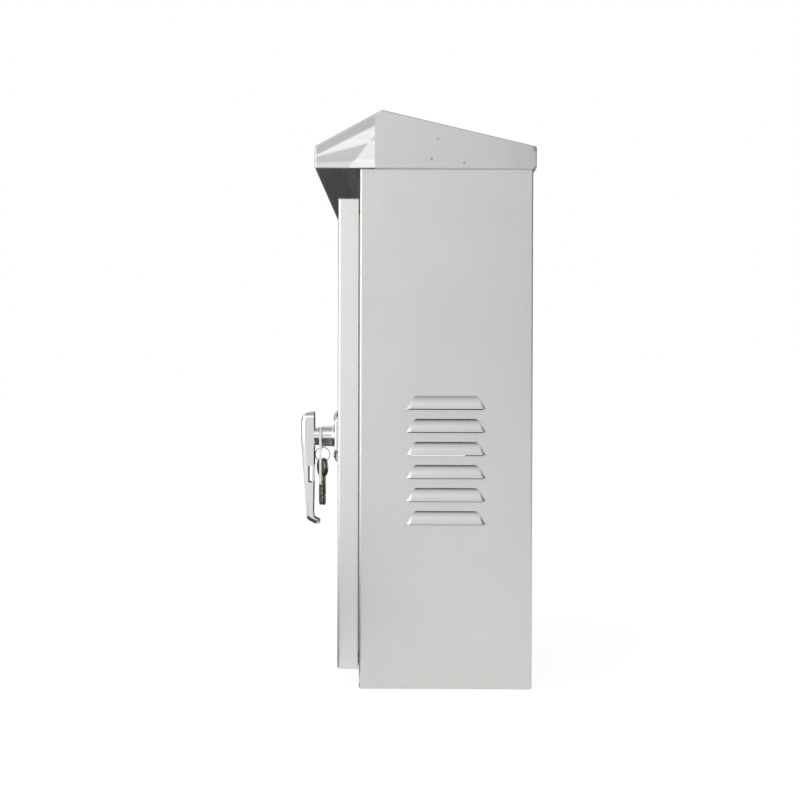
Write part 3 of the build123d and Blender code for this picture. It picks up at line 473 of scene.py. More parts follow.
@dataclass(frozen=True)
class SoftMoulding(Finish):
    """Rubber, foam or nylon: no metal, with a grained skin and a soft sheen.

    Attributes:
        grain_mm: The size of the skin's grain or cells.
        grain_depth: How deep it is, in millimetres.
        grain_strength: How much of it shows, from nought to one.
        glow: How much light passes into the material, from nought to one.
        glow_mm: How deep the light goes.
        glow_tone: How far its red, green and blue go, as shares of that.
    """

    metallic: float = 0.0
    grain_mm: float = 0.8
    grain_depth: float = 0.05
    grain_strength: float = 0.7
    glow: float = 0.0
    glow_mm: float = 0.6
    glow_tone: tuple[float, float, float] = (1.0, 0.9, 0.75)

    def relief(self, tree: Any, coords: Any) -> Any:
        """Return the normal of the skin's grain."""
        cells = add_node(tree, "ShaderNodeTexVoronoi", {
            "Vector": coords, "Scale": per_metre(self.grain_mm),
        }).outputs["Distance"]
        return bump(tree, cells, self.grain_depth * MM, strength=self.grain_strength)

    def extras(self, shader: bpy.types.Node) -> None:
        """Let light into the material, where the real one is milky."""
        if self.glow > 0:
            shader.inputs["Subsurface Weight"].default_value = self.glow
            shader.inputs["Subsurface Radius"].default_value = self.glow_tone
            shader.inputs["Subsurface Scale"].default_value = self.glow_mm * MM


@dataclass(frozen=True)
class KeyWithPaintedShade(TurnedMetal):
    """Nickel-plated brass key: grey skin, with patches of painted shade and painted dark
    reflection.

    Attributes:
        dark: The colour of the painted shade and reflection.
        patch_mm: The size of a dark patch.
        patch_span: The noise values at which a patch begins and is full.
        patch_strength: How dark a full patch is.
    """

    dark: str = "#5A564E"
    patch_mm: float = 7.0
    patch_span: tuple[float, float] = (0.5, 0.62)
    patch_strength: float = 0.8

    def tinted(self, tree: Any, coords: Any, cloud: Any) -> Any:
        """Return the plated colour with its patches of painted shade and reflection."""
        colour = super().tinted(tree, coords, cloud)
        # These patches are painted shade and painted dark reflection, put into the colour.
        patch = noise(tree, coords, self.patch_mm, detail=4.0)
        mask = remap(tree, patch, self.patch_span, (0.0, self.patch_strength))
        return blend(tree, mask, colour, linear(self.dark))


class Form:
    """A mesh under construction, in millimetres, that ends as one piece."""

    def __init__(self) -> None:
        """Start with an empty mesh."""
        self.mesh = bmesh.new()

    def lathe(self, profile: Iterable[tuple[float, float]], segments: int = 32) -> "Form":
        """Turn a profile round the z axis.

        Args:
            profile: Points as radius and height, in order.
            segments: How many steps the full turn has.

        Returns:
            This form.
        """
        verts = [self.mesh.verts.new((radius, 0.0, z)) for radius, z in profile]
        edges = [self.mesh.edges.new(pair) for pair in zip(verts, verts[1:])]
        bmesh.ops.spin(
            self.mesh, geom=verts + edges, cent=(0, 0, 0), axis=(0, 0, 1), dvec=(0, 0, 0),
            angle=math.tau, steps=segments, use_merge=True, use_duplicate=False,
        )
        return self.merged()

    def merged(self) -> "Form":
        """Join what touches and turn every face outwards."""
        bmesh.ops.remove_doubles(self.mesh, verts=self.mesh.verts, dist=MERGE_MM)
        bmesh.ops.recalc_face_normals(self.mesh, faces=self.mesh.faces)
        return self

    def loop(self, radius: float, z: float, segments: int) -> list[bmesh.types.BMEdge]:
        """Add an open ring and return its edges."""
        made = bmesh.ops.create_circle(
            self.mesh, cap_ends=False, radius=radius, segments=segments,
            matrix=Matrix.Translation((0, 0, z)),
        )
        return list({edge for vert in made["verts"] for edge in vert.link_edges})

    def bridge(self, loops: list[list[bmesh.types.BMEdge]]) -> "Form":
        """Join rings in order, and the last to the first.

        Args:
            loops: The rings' edges.

        Returns:
            This form.
        """
        for one, other in zip(loops, loops[1:] + loops[:1]):
            bmesh.ops.bridge_loops(self.mesh, edges=one + other)
        return self.merged()

    def closed(self, loops: list[list[bmesh.types.BMEdge]]) -> "Form":
        """Join rings in order, and fill the first and the last.

        Args:
            loops: The rings' edges.

        Returns:
            This form.
        """
        for one, other in zip(loops, loops[1:]):
            bmesh.ops.bridge_loops(self.mesh, edges=one + other)
        for ring in (loops[0], loops[-1]):
            bmesh.ops.edgeloop_fill(self.mesh, edges=ring)
        return self.merged()

    def thread(self, size: Metric, z0: float, z1: float, segments: int = 20) -> "Form":
        """Add a threaded rod: teeth swept up one pitch in each turn, cut flat at both ends.

        Args:
            size: The metric thread.
            z0: The lower end.
            z1: The upper end.
            segments: How many steps one turn has.

        Returns:
            This form.
        """
        # The sweep starts below the rod and ends above it, so that both cuts are whole.
        rod, below, spare = Form(), 2, 3
        halves = 2 * (math.ceil((z1 - z0) / size.pitch) + spare)
        start = z0 - below * size.pitch
        points = [
            (size.radius if i % 2 else size.root, start + i * size.pitch / 2)
            for i in range(halves)
        ]
        verts = [rod.mesh.verts.new((radius, 0.0, z)) for radius, z in points]
        edges = [rod.mesh.edges.new(pair) for pair in zip(verts, verts[1:])]
        bmesh.ops.spin(
            rod.mesh, geom=verts + edges, cent=(0, 0, 0), axis=(0, 0, 1),
            dvec=(0, 0, size.pitch / segments), angle=math.tau, steps=segments,
            use_merge=False, use_duplicate=False,
        )
        bmesh.ops.remove_doubles(rod.mesh, verts=rod.mesh.verts, dist=MERGE_MM)
        for level, way in ((z0, -1.0), (z1, 1.0)):
            geometry = rod.mesh.verts[:] + rod.mesh.edges[:] + rod.mesh.faces[:]
            cut = bmesh.ops.bisect_plane(
                rod.mesh, geom=geometry, plane_co=(0, 0, level), plane_no=(0, 0, way),
                clear_outer=True,
            )
            rim = [edge for edge in cut["geom_cut"] if isinstance(edge, bmesh.types.BMEdge)]
            bmesh.ops.edgeloop_fill(rod.mesh, edges=rim)
        return self.add(rod.merged())

    def hexagon(self, flats: float, z0: float, z1: float, bore: float, chamfer: float) -> "Form":
        """Add a hexagon with turned-off corners, and a bore if it has one.

        Args:
            flats: The size across the flats.
            z0: The lower face.
            z1: The upper face.
            bore: The bore's radius, or nought for a solid head.
            chamfer: How far the corners are turned down along the axis.

        Returns:
            This form.
        """
        part, sides, steps = Form(), 6, 24
        corner = flats / math.sqrt(3)
        face = flats * HEXAGON_FACE
        rings = [
            part.loop(face, z0, steps), part.loop(corner, z0 + chamfer, sides),
            part.loop(corner, z1 - chamfer, sides), part.loop(face, z1, steps),
        ]
        if bore > 0:
            rings += [part.loop(bore, z1, steps), part.loop(bore, z0, steps)]
            return self.add(part.bridge(rings))
        return self.add(part.closed(rings))

    def bead(self, start: Vector, end: Vector, radius: float, step: float = 0.9) -> "Form":
        """Add a weld bead: a rounded run whose girth rises and falls with each drop of metal.

        Args:
            start: Where it starts.
            end: Where it ends.
            radius: Its half-width.
            step: The spacing of its ripples.

        Returns:
            This form.
        """
        run, loops = Form(), []
        # Shares of the full girth, between two drops and at the ends, and how fast it fills out.
        hollow, tip, rise = 0.86, 0.35, 5
        segments = 10
        length = (end - start).length
        count = max(4, round(2 * length / step))
        for i in range(count + 1):
            share = i / count
            swell = 1.0 if i % 2 else hollow
            taper = min(1.0, tip + rise * min(share, 1 - share))
            loops.append(run.loop(radius * swell * taper, share * length, segments))
        turn = (end - start).to_track_quat("Z", "Y").to_matrix().to_4x4()
        return self.add(run.closed(loops).placed(Matrix.Translation(start) @ turn))

    def placed(self, matrix: Matrix) -> "Form":
        """Move the whole form."""
        bmesh.ops.transform(self.mesh, matrix=matrix, verts=self.mesh.verts)
        return self

    def add(self, other: "Form") -> "Form":
        """Take another form's mesh into this one."""
        taken = bpy.data.meshes.new("taken")
        other.mesh.to_mesh(taken)
        other.mesh.free()
        self.mesh.from_mesh(taken)
        bpy.data.meshes.remove(taken)
        return self

    def without(self, *cutters: "Form") -> "Form":
        """Cut other forms out of this one.

        Args:
            *cutters: The forms to cut out, which are used up.

        Returns:
            This form.
        """
        solid = loose_object("solid", self.mesh)
        for cutter in cutters:
            tool = loose_object("tool", cutter.mesh)
            change = solid.modifiers.new("cut", "BOOLEAN")
            change.object = tool
            change.solver = "EXACT"
            graph = bpy.context.evaluated_depsgraph_get()
            result = bpy.data.meshes.new_from_object(solid.evaluated_get(graph))
            solid.modifiers.clear()
            solid.data = result
            bpy.data.objects.remove(tool)
        self.mesh = bmesh.new()
        self.mesh.from_mesh(solid.data)
        bpy.data.objects.remove(solid)
        return self

    def piece(self, name: str, body: Body, finish: Finish, slot: str, smooth: float = 35.0) -> Any:
        """End the form as a piece that rides on a body.

        Args:
            name: The piece's name.
            body: The body it moves with.
            finish: Its finish.
            slot: The record's material slot; not used.
            smooth: The angle up to which edges are shaded as one curve.

        Returns:
            The new object.
        """
        self.placed(Matrix.Scale(MM, 4))
        made = loose_object(name, self.mesh)
        for face in made.data.polygons:
            face.use_smooth = True
        made.data.set_sharp_from_angle(angle=math.radians(smooth))
        made.data.materials.append(finish.material())
        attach(made, body.value)
        LOG.info("made %s with %d faces", name, len(made.data.polygons))
        return made


def loose_object(name: str, mesh: bmesh.types.BMesh) -> bpy.types.Object:
    """Turn a bmesh into an object of the scene and free it.

    Args:
        name: The object's name.
        mesh: The bmesh, which is used up.

    Returns:
        The object.
    """
    data = bpy.data.meshes.new(name)
    mesh.to_mesh(data)
    mesh.free()
    made = bpy.data.objects.new(name, data)
    bpy.context.scene.collection.objects.link(made)
    return made


def dress(nodes: Iterable[str], finish: Finish) -> None:
    """Give CAD nodes a finish.

    Args:
        nodes: The nodes' names.
        finish: Their finish.
    """
    for name in nodes:
        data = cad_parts[name].data
        data.materials.clear()
        data.materials.append(finish.material())
        LOG.info("dressed %s in %s", name, finish.name)


def in_mm(box: Iterable[Vector]) -> tuple[Vector, Vector]:
    """Return the lowest and highest corner of a box in millimetres."""
    low, high = box
    return low / MM, high / MM


def solid_boxes(node: str) -> list[tuple[Vector, Vector]]:
    """Find each separate solid of a CAD node.

    Args:
        node: The node's name.

    Returns:
        The lowest and highest corner of each solid, in millimetres.
    """
    mesh = bmesh.new()
    mesh.from_mesh(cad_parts[node].data)
    bmesh.ops.remove_doubles(mesh, verts=mesh.verts, dist=MERGE_MM * MM)
    left = set(mesh.verts)
    boxes = []
    while left:
        island, edge = set(), [left.pop()]
        while edge:
            vert = edge.pop()
            island.add(vert)
            near = {link.other_vert(vert) for link in vert.link_edges} & left
            left -= near
            edge.extend(near)
        points = [vert.co / MM for vert in island]
        low = Vector(min(p[i] for p in points) for i in range(3))
        high = Vector(max(p[i] for p in points) for i in range(3))
        boxes.append((low, high))
    mesh.free()
    return sorted(boxes, key=lambda box: tuple(round(v, 2) for v in box[0]))


def upright(x: float, y: float, z: float) -> Matrix:
    """Return the place of a form whose axis stays along +Z."""
    return Matrix.Translation((x, y, z))


def facing_front(x: float, y: float, z: float) -> Matrix:
    """Return the place of a form whose axis is turned to -Y."""
    return Matrix.Translation((x, y, z)) @ Matrix.Rotation(math.radians(90), 4, "X")


def facing_side(x: float, y: float, z: float) -> Matrix:
    """Return the place of a form whose axis is turned to -X."""
    return Matrix.Translation((x, y, z)) @ Matrix.Rotation(math.radians(-90), 4, "Y")


# The body and its cable plate: matt grey, faintly lined, that mirrors in soft clouds.
STAINLESS = RolledSheet("rolled_stainless", "#CBCBC9", 0.30, mottle=0.018, mottle_mm=70.0)

# The door: paler and duller than the body, so that the two part at the gap.
DOOR_STAINLESS = RolledSheet(
    "rolled_stainless_door", "#D8D8D6", 0.36, mottle=0.018, mottle_mm=90.0, wave_mm=190.0,
)

# The front roof sheet: shinier, its mirrored tones broken by creases.
ROOF_FRONT_STAINLESS = WeldedSheet(
    "welded_stainless_front", "#B8B8B7", 0.24, mottle=0.02, mottle_mm=60.0, along=Along.Y,
    grain_depth=0.002, wave_mm=60.0, wave_depth=0.5,
    creases=((-146.0, 618.0, 26.5, -10.5), (-118.0, 622.0, 15.0, 6.5), (-107.0, 608.0, 52.0, -5.5),
             (-150.0, 607.0, 3.0, -4.0)),
)

# The rear roof sheet: dull, with warm grey heat tint at its spot welds, and warm grey spots that
# darken the top and the bottom of its rear corner.
ROOF_REAR_STAINLESS = WeldedSheet(
    "welded_stainless_rear", "#C4C4C3", 0.36, mottle=0.02, mottle_mm=70.0, along=Along.Y,
    grain_depth=0.002,
    # The spots at y 103 and 101.5 darken the top and the bottom of the rear corner.
    spots=((-17.5, 611.3, 2.6), (20.0, 606.7, 2.2), (103.0, 624.0, 6.5), (101.5, 600.5, 3.2),
           (-10.0, 634.0, 2.0)),
    creases=((74.0, 612.0, 104.0, 2.2),),
)

# The hinges and their screws: a bright skin with the fine marks of the tool.
HINGE_STAINLESS = TurnedMetal(
    "turned_stainless", "#C6C6C4", 0.26, along=Along.X, mark_mm=0.8, mark_depth=0.006,
)

# The weld beads: dull, darker than the sheet and mottled by the heat.
WELD_METAL = Finish("weld_metal", "#9C9890", 0.42, mottle=0.22, mottle_mm=3.0)

# The lock's castings: the clearest mirror on the cabinet, with a slow ripple.
CHROME = CastChrome("satin_chrome", "#D0D2D4", 0.12, mottle=0.02)

# The cylinder and its plug: a warmer and softer shine than the chrome's.
NICKEL = TurnedMetal("nickel_plate", "#B9B3A6", 0.22, along=Along.X)

# The hinge washers, the earth stud and its nut: yellow, with turning marks.
BRASS = TurnedMetal("turned_brass", "#C8A463", 0.3, along=Along.X)

# The plated fixings, the spindle and the cam: cool grey and a little cloudy.
ZINC = TurnedMetal("zinc_plate", "#B7BAB9", 0.3, mottle=0.07, mottle_mm=6.0, along=Along.X)

# The mounting plate: flat crystals that catch the light one by one.
GALVANISED = Galvanised("galvanised_sheet", "#AEB3B5", 0.34, mottle=0.11)

# The keys and their ring: yellowish grey, with patches of painted shade and painted dark
# reflection.
KEY_METAL = KeyWithPaintedShade("nickel_key_painted_shade", "#A19D94", 0.28, along=Along.Z)

# The tie: milky white that lets a little light in.
NYLON = SoftMoulding("natural_nylon", "#DCD8CC", 0.38, mottle=0.02, grain_mm=0.9,
                     grain_depth=0.03, glow=0.35)

# The grommets and the lock's seal: black with a soft sheen.
RUBBER = SoftMoulding("black_rubber", "#232324", 0.62, mottle=0.12, mottle_mm=12.0)

# The door's gasket: dark grey and dull, with fine pores.
FOAM = SoftMoulding("foamed_seal", "#3A3B3C", 0.85, mottle=0.1, mottle_mm=8.0, grain_mm=1.1,
                    grain_depth=0.16)


@dataclass
class Fasteners:
    """Screws, studs and nuts, with the threads and recesses that the frame leaves out.

    Attributes:
        head_wall: The height of a pan head's straight wall, as a share of the head's height.
        head_round: How far its rounding runs in and up from there, as shares of that height.
        recess_arm: The width of a cross recess's arm, as a share of the thread's radius.
        recess_span: The length across the recess, as a share of the head's radius.
        recess_depth: How deep the recess goes, as a share of the head's height.
        recess_taper: The width of its cutter's foot, as a share of the cutter's top.
        chamfer: How far a nut's corners are turned down, as a share of its height.
    """

    head_wall: float = 0.45
    head_round: tuple[float, float] = (0.55, 0.5)
    recess_arm: float = 0.42
    recess_span: float = 1.15
    recess_depth: float = 0.65
    recess_taper: float = 0.55
    chamfer: float = 0.16

    def pan_head(self, size: Metric, head_r: float, head_h: float, length: float) -> Form:
        """Make a pan-head screw that points down, its seat at z = 0.

        Args:
            size: The thread.
            head_r: The head's radius.
            head_h: The head's height.
            length: The thread's length below the seat.

        Returns:
            The screw, with its head up.
        """
        steps = 6
        across, up = self.head_round
        edge = [
            (head_r - head_h * across * (1 - math.cos(t)),
             head_h * (self.head_wall + up * math.sin(t)))
            for t in (math.pi / 2 * i / steps for i in range(steps + 1))
        ]
        head = Form().lathe([(0, 0), (head_r, 0), *edge, (0, head_h)])
        span = head_r * self.recess_span
        arm = size.radius * self.recess_arm
        tall = head_h * (2 * self.recess_depth)
        taper = (self.recess_taper, self.recess_taper, 1.0)
        cutters = []
        for wide, deep in ((span, arm), (arm, span)):
            cutter = Form()
            made = bmesh.ops.create_cube(cutter.mesh, size=1.0)
            bmesh.ops.scale(cutter.mesh, vec=(wide, deep, tall), verts=made["verts"])
            low = [vert for vert in made["verts"] if vert.co.z < 0]
            bmesh.ops.scale(cutter.mesh, vec=taper, verts=low)
            cutters.append(cutter.placed(upright(0, 0, head_h)))
        return head.without(*cutters).thread(size, -length, 0)

    def nut(self, height: float, size: Metric) -> Form:
        """Make a hexagon nut that stands on z = 0."""
        return Form().hexagon(size.flats, 0, height, size.radius, self.chamfer * height)


@dataclass
class Shell:
    """The welded body, its roof and its cable plate.

    Attributes:
        hardware: How fasteners are made.
        head_h: The height of a roof screw's hexagon head.
        head_chamfer: How far the head's corners are turned down.
        louvre_proud: How far the louvres stand out of the sides.
        corner_weld: The length of the weld left at each lower front corner.
        weld_inset: How far it starts from the side, the front and the base.
        weld_r: The half-width of a weld bead.
    """

    hardware: Fasteners
    head_h: float = 5.0
    head_chamfer: float = 0.7
    louvre_proud: float = 7.0
    corner_weld: float = 5.0
    weld_inset: tuple[float, float, float] = (0.55, 0.8, 2.2)
    weld_r: float = 0.8

    def build(self) -> None:
        """Dress the sheets and make the screws, studs, nuts and welds."""
        dress(["body_shell"], STAINLESS)
        dress(["roof_front"], ROOF_FRONT_STAINLESS)
        dress(["roof_rear"], ROOF_REAR_STAINLESS)
        dress(["cable_plate"], STAINLESS)
        dress(["cable_grommet_1", "cable_grommet_2", "cable_grommet_3"], RUBBER)
        self.roof_screws()
        self.cable_plate_fixings()
        self.corner_welds()

    def roof_screws(self) -> None:
        """Make the hexagon screws and the weld nuts that hold the roof."""
        screws, nuts = Form(), Form()
        size = Metric.M6
        nut_boxes = solid_boxes("roof_weld_nuts")
        for (low, high), (nut_low, nut_high) in zip(solid_boxes("roof_screws"), nut_boxes):
            centre = (low + high) / 2
            screw = Form().hexagon(size.flats, 0, self.head_h, 0, self.head_chamfer)
            screw.thread(size, self.head_h, high.z - low.z)
            screws.add(screw.placed(upright(centre.x, centre.y, low.z)))
            nut = self.hardware.nut(nut_high.z - nut_low.z, size)
            nuts.add(nut.placed(upright(centre.x, centre.y, nut_low.z)))
        made = screws.piece("roof_fixing_screws", Body.CABINET, ZINC, "zinc_steel")
        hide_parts("roof_screws")
        made = nuts.piece("roof_fixing_nuts", Body.CABINET, ZINC, "zinc_steel")
        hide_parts("roof_weld_nuts")

    def cable_plate_fixings(self) -> None:
        """Make the threaded studs and the nuts of the cable plate."""
        size = Metric.M5
        studs, nuts = Form(), Form()
        for low, high in solid_boxes("cable_plate_studs"):
            centre = (low + high) / 2
            stud = Form().thread(size, 0, high.z - low.z)
            studs.add(stud.placed(upright(centre.x, centre.y, low.z)))
        for low, high in solid_boxes("cable_plate_nuts"):
            centre = (low + high) / 2
            nut = self.hardware.nut(high.z - low.z, size)
            nuts.add(nut.placed(upright(centre.x, centre.y, low.z)))
        made = studs.piece("cable_plate_threads", Body.CABINET, ZINC, "zinc_steel")
        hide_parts("cable_plate_studs")
        made = nuts.piece("cable_plate_fixing_nuts", Body.CABINET, ZINC, "zinc_steel")
        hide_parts("cable_plate_nuts")

    def corner_welds(self) -> None:
        """Make the short welds at the lower front corners of the body."""
        low, high = in_mm(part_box("body_shell"))
        side = (high.x - low.x) / 2 - self.louvre_proud
        # The origin is in the middle of the body's depth.
        front = -high.y
        across, back, up = self.weld_inset
        form = Form()
        for way in (-1, 1):
            start = Vector((way * (side - across), front + back, up))
            form.bead(start, start + Vector((0, 0, self.corner_weld)), self.weld_r)
        form.piece("corner_welds", Body.CABINET, WELD_METAL, "stainless_sheet")


@dataclass
class Door:
    """The folded door and its foamed seal."""

    def build(self) -> None:
        """Dress the door's nodes."""
        dress(["door_panel"], DOOR_STAINLESS)
        dress(["door_gasket"], FOAM)


@dataclass
class Hinges:
    """The two lift-off hinges, welded to the body and screwed to the door.

    Attributes:
        hardware: How fasteners are made.
        weld_r: The half-width of the welds round the body leaves.
        weld_out: How far the welds' middle lies outside a leaf.
        weld_run: How far they run in along its ends.
        weld_ahead: How far they lie ahead of its rear face.
        door_leaf: The thickness of a door leaf.
    """

    hardware: Fasteners
    weld_r: float = 1.1
    weld_out: float = 0.2
    weld_run: float = 7.0
    weld_ahead: float = 0.7
    door_leaf: float = 2.0

    def build(self) -> None:
        """Dress the knuckles and make the welds, the screws and their nuts."""
        for level in ("lower", "upper"):
            leaves = [f"hinge_body_leaf_{level}", f"hinge_door_leaf_{level}"]
            dress(leaves + [f"hinge_pin_{level}"], HINGE_STAINLESS)
            dress([f"hinge_washer_{level}"], BRASS)
        self.leaf_welds()
        self.screws()

    def leaf_welds(self) -> None:
        """Make the weld round the three free edges of each body leaf."""
        form = Form()
        for level in ("lower", "upper"):
            low, high = in_mm(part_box(f"hinge_body_leaf_{level}"))
            outer = low.x - self.weld_out
            inner = low.x + self.weld_run
            y = high.y - self.weld_ahead
            ends = [low.z - self.weld_out, high.z + self.weld_out]
            form.bead(Vector((outer, y, ends[0])), Vector((outer, y, ends[1])), self.weld_r)
            for z in ends:
                form.bead(Vector((outer, y, z)), Vector((inner, y, z)), self.weld_r)
        form.piece("hinge_welds", Body.CABINET, WELD_METAL, "stainless_hinge")

    def screws(self) -> None:
        """Make the pan-head screws of the door leaves, and the nuts behind them."""
        size = Metric.M4
        door_low, _ = in_mm(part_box("door_panel"))
        leaf_low = door_low.x - self.door_leaf
        screws, nuts = Form(), Form()
        for low, high in solid_boxes("hinge_screws"):
            centre = (low + high) / 2
            screw = self.hardware.pan_head(
                size, (high.z - low.z) / 2, leaf_low - low.x, high.x - leaf_low
            )
            screws.add(screw.placed(facing_side(leaf_low, centre.y, centre.z)))
        for low, high in solid_boxes("hinge_nuts"):
            centre = (low + high) / 2
            nut = self.hardware.nut(high.x - low.x, size)
            nuts.add(nut.placed(facing_side(high.x, centre.y, centre.z)))
        made = screws.piece("hinge_pan_screws", Body.DOOR, HINGE_STAINLESS, "stainless_hinge")
        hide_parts("hinge_screws")
        made = nuts.piece("hinge_fixing_nuts", Body.DOOR, ZINC, "zinc_steel")
        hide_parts("hinge_nuts")


@dataclass
class Lock:
    """The turning-lever lock: housing, lever, cylinder, spindle and cam.

    Attributes:
        hardware: How fasteners are made.
        head: The height of a rose screw's head, as a share of its thread's radius.
        square: The spindle's size across its flats.
        square_edge: The bevel of its edges.
        square_end: How far inside the cam's rear face the square ends.
    """

    hardware: Fasteners
    head: float = 0.9
    square: float = 7.0
    square_edge: float = 0.35
    square_end: float = 0.3

    def build(self) -> None:
        """Dress the castings and make the screws, the spindle and the nuts."""
        dress(["lock_housing", "lever_handle"], CHROME)
        dress(["lock_cylinder", "key_plug"], NICKEL)
        dress(["lock_seal"], RUBBER)
        dress(["spindle_pin", "cam_spacer", "latch_cam", "cam_washer"], ZINC)
        self.screws()
        self.spindle()

    def screws(self) -> None:
        """Make the two screws through the rose, and the nuts inside the door."""
        size = Metric.M5
        form = Form()
        for low, high in solid_boxes("lock_screws"):
            centre = (low + high) / 2
            head_h = self.head * size.radius
            seat = low.y + head_h
            head_r = (high.z - low.z) / 2
            screw = self.hardware.pan_head(size, head_r, head_h, high.y - seat)
            form.add(screw.placed(facing_front(centre.x, seat, centre.z)))
        made = form.piece("lock_pan_screws", Body.DOOR, ZINC, "zinc_steel")
        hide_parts("lock_screws")
        nuts = Form()
        for low, high in solid_boxes("lock_nuts"):
            centre = (low + high) / 2
            nut = self.hardware.nut(high.y - low.y, size)
            nuts.add(nut.placed(facing_front(centre.x, high.y, centre.z)))
        made = nuts.piece("lock_fixing_nuts", Body.DOOR, ZINC, "zinc_steel")
        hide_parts("lock_nuts")

    def spindle(self) -> None:
        """Make the square spindle with its threaded end, and the cam's nut."""
        size = Metric.M6
        low, high = in_mm(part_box("spindle"))
        _, cam_high = in_mm(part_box("latch_cam"))
        centre = (low + high) / 2
        shoulder = cam_high.y - self.square_end
        bar = Form()
        made = bmesh.ops.create_cube(bar.mesh, size=1.0)
        length = shoulder - low.y
        bmesh.ops.scale(bar.mesh, vec=(self.square, self.square, length), verts=made["verts"])
        bmesh.ops.bevel(
            bar.mesh, geom=bar.mesh.edges[:], offset=self.square_edge, segments=2,
            affect="EDGES", profile=0.5, material=-1,
        )
        bar.placed(upright(0, 0, -length / 2))
        bar.thread(size, -(high.y - low.y), -length + THREAD_ROOT_MM)
        made = bar.placed(facing_front(centre.x, low.y, centre.z)).piece(
            "square_spindle", Body.LEVER, ZINC, "zinc_steel"
        )
        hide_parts("spindle")
        nut_low, nut_high = in_mm(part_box("cam_nut"))
        nut = self.hardware.nut(nut_high.y - nut_low.y, size)
        made = nut.placed(facing_front(centre.x, nut_high.y, centre.z)).piece(
            "cam_fixing_nut", Body.LEVER, ZINC, "zinc_steel"
        )
        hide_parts("cam_nut")


@dataclass
class Keys:
    """Two keys on a split ring, held to the lock by a cable tie.

    Attributes:
        wire: The thickness of the ring's wire along its axis.
        wire_width: Its width across that, as a share of the thickness.
        turns: How many turns the ring is wound.
        turn_steps: How many steps one turn has.
    """

    wire: float = 0.72
    wire_width: float = 1.5
    turns: float = 2.0
    turn_steps: int = 48

    def build(self) -> None:
        """Dress the keys and the tie, and wind the ring."""
        dress(["key_1", "key_2"], KEY_METAL)
        dress(["key_tie"], NYLON)
        self.ring()

    def ring(self) -> None:
        """Wind the split ring as a flat spring of two touching turns."""
        low, high = in_mm(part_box("key_ring"))
        centre = (low + high) / 2
        thick = high.x - low.x
        radius = (high.z - low.z) / 2 - thick / 2
        steps = int(self.turn_steps * self.turns)
        form = Form()
        made = bmesh.ops.create_circle(
            form.mesh, cap_ends=True, radius=self.wire / 2, segments=10,
            matrix=Matrix.Translation((radius, 0, -self.wire / 2))
            @ Matrix.Rotation(math.radians(90), 4, "X"),
        )
        geometry = form.mesh.verts[:] + form.mesh.edges[:] + form.mesh.faces[:]
        bmesh.ops.scale(
            form.mesh, vec=(self.wire_width, 1, 1), verts=made["verts"],
            space=Matrix.Translation((-radius, 0, 0)),
        )
        bmesh.ops.spin(
            form.mesh, geom=geometry, cent=(0, 0, 0), axis=(0, 0, 1),
            dvec=(0, 0, self.wire * self.turns / 2 / steps), angle=math.tau * self.turns,
            steps=steps, use_merge=False, use_duplicate=False,
        )
        form.merged()
        turn = Matrix.Rotation(math.radians(90), 4, "Y")
        made = form.placed(Matrix.Translation(centre) @ turn).piece(
            "split_ring", Body.KEYS, KEY_METAL, "key_metal", smooth=60.0
        )
        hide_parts("key_ring")


@dataclass
class Interior:
    """The mounting plate with its studs and nuts, and the earth stud.

    Attributes:
        hardware: How fasteners are made.
        shoulder_r: The radius of a plate stud's shoulder.
    """

    hardware: Fasteners
    shoulder_r: float = 7.0

    def build(self) -> None:
        """Dress the plate and make what holds it."""
        dress(["mounting_plate"], GALVANISED)
        dress(["plate_washers", "earth_washer"], ZINC)
        self.plate_fixings()
        self.earth()

    def plate_fixings(self) -> None:
        """Make the shouldered studs and the nuts of the mounting plate."""
        size = Metric.M8
        _, plate_high = in_mm(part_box("mounting_plate"))
        studs, nuts = Form(), Form()
        for low, high in solid_boxes("plate_studs"):
            centre = (low + high) / 2
            depth = high.y - plate_high.y
            wide = self.shoulder_r
            stud = Form().lathe([(0, 0), (wide, 0), (wide, depth), (0, depth)])
            stud.thread(size, depth - THREAD_ROOT_MM, high.y - low.y)
            studs.add(stud.placed(facing_front(centre.x, high.y, centre.z)))
        for low, high in solid_boxes("plate_nuts"):
            centre = (low + high) / 2
            nut = self.hardware.nut(high.y - low.y, size)
            nuts.add(nut.placed(facing_front(centre.x, high.y, centre.z)))
        made = studs.piece("plate_fixing_studs", Body.CABINET, ZINC, "zinc_steel")
        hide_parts("plate_studs")
        made = nuts.piece("plate_fixing_nuts", Body.CABINET, ZINC, "zinc_steel")
        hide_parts("plate_nuts")

    def earth(self) -> None:
        """Make the threaded earth stud and its nut."""
        size = Metric.M8
        low, high = in_mm(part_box("earth_stud"))
        centre = (low + high) / 2
        stud = Form().thread(size, 0, high.x - low.x)
        made = stud.placed(facing_side(high.x, centre.y, centre.z)).piece(
            "earth_thread", Body.CABINET, BRASS, "zinc_steel"
        )
        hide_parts("earth_stud")
        nut_low, nut_high = in_mm(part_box("earth_nut"))
        nut = self.hardware.nut(nut_high.x - nut_low.x, size)
        made = nut.placed(facing_side(nut_high.x, centre.y, centre.z)).piece(
            "earth_fixing_nut", Body.CABINET, BRASS, "zinc_steel"
        )
        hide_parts("earth_nut")


@dataclass
class Lamp:
    """A soft rectangular light.

    Attributes:
        name: Its name.
        place: Where it stands, in metres.
        aim: What it points at, in metres.
        size: Its width and height, in metres.
        level: How bright its face is, where one is paper white.
    """

    name: str
    place: tuple[float, float, float]
    aim: tuple[float, float, float]
    size: tuple[float, float]
    level: float

    def build(self) -> None:
        """Put the lamp in the scene, unseen by the camera itself."""
        data = bpy.data.lights.new(self.name, "AREA")
        data.shape = "RECTANGLE"
        data.size, data.size_y = self.size
        data.energy = self.level * math.pi * self.size[0] * self.size[1]
        made = bpy.data.objects.new(self.name, data)
        made.location = self.place
        towards = Vector(self.aim) - Vector(self.place)
        made.rotation_mode = "QUATERNION"
        made.rotation_quaternion = towards.to_track_quat("-Z", "Y")
        made.visible_camera = False
        bpy.context.scene.collection.objects.link(made)


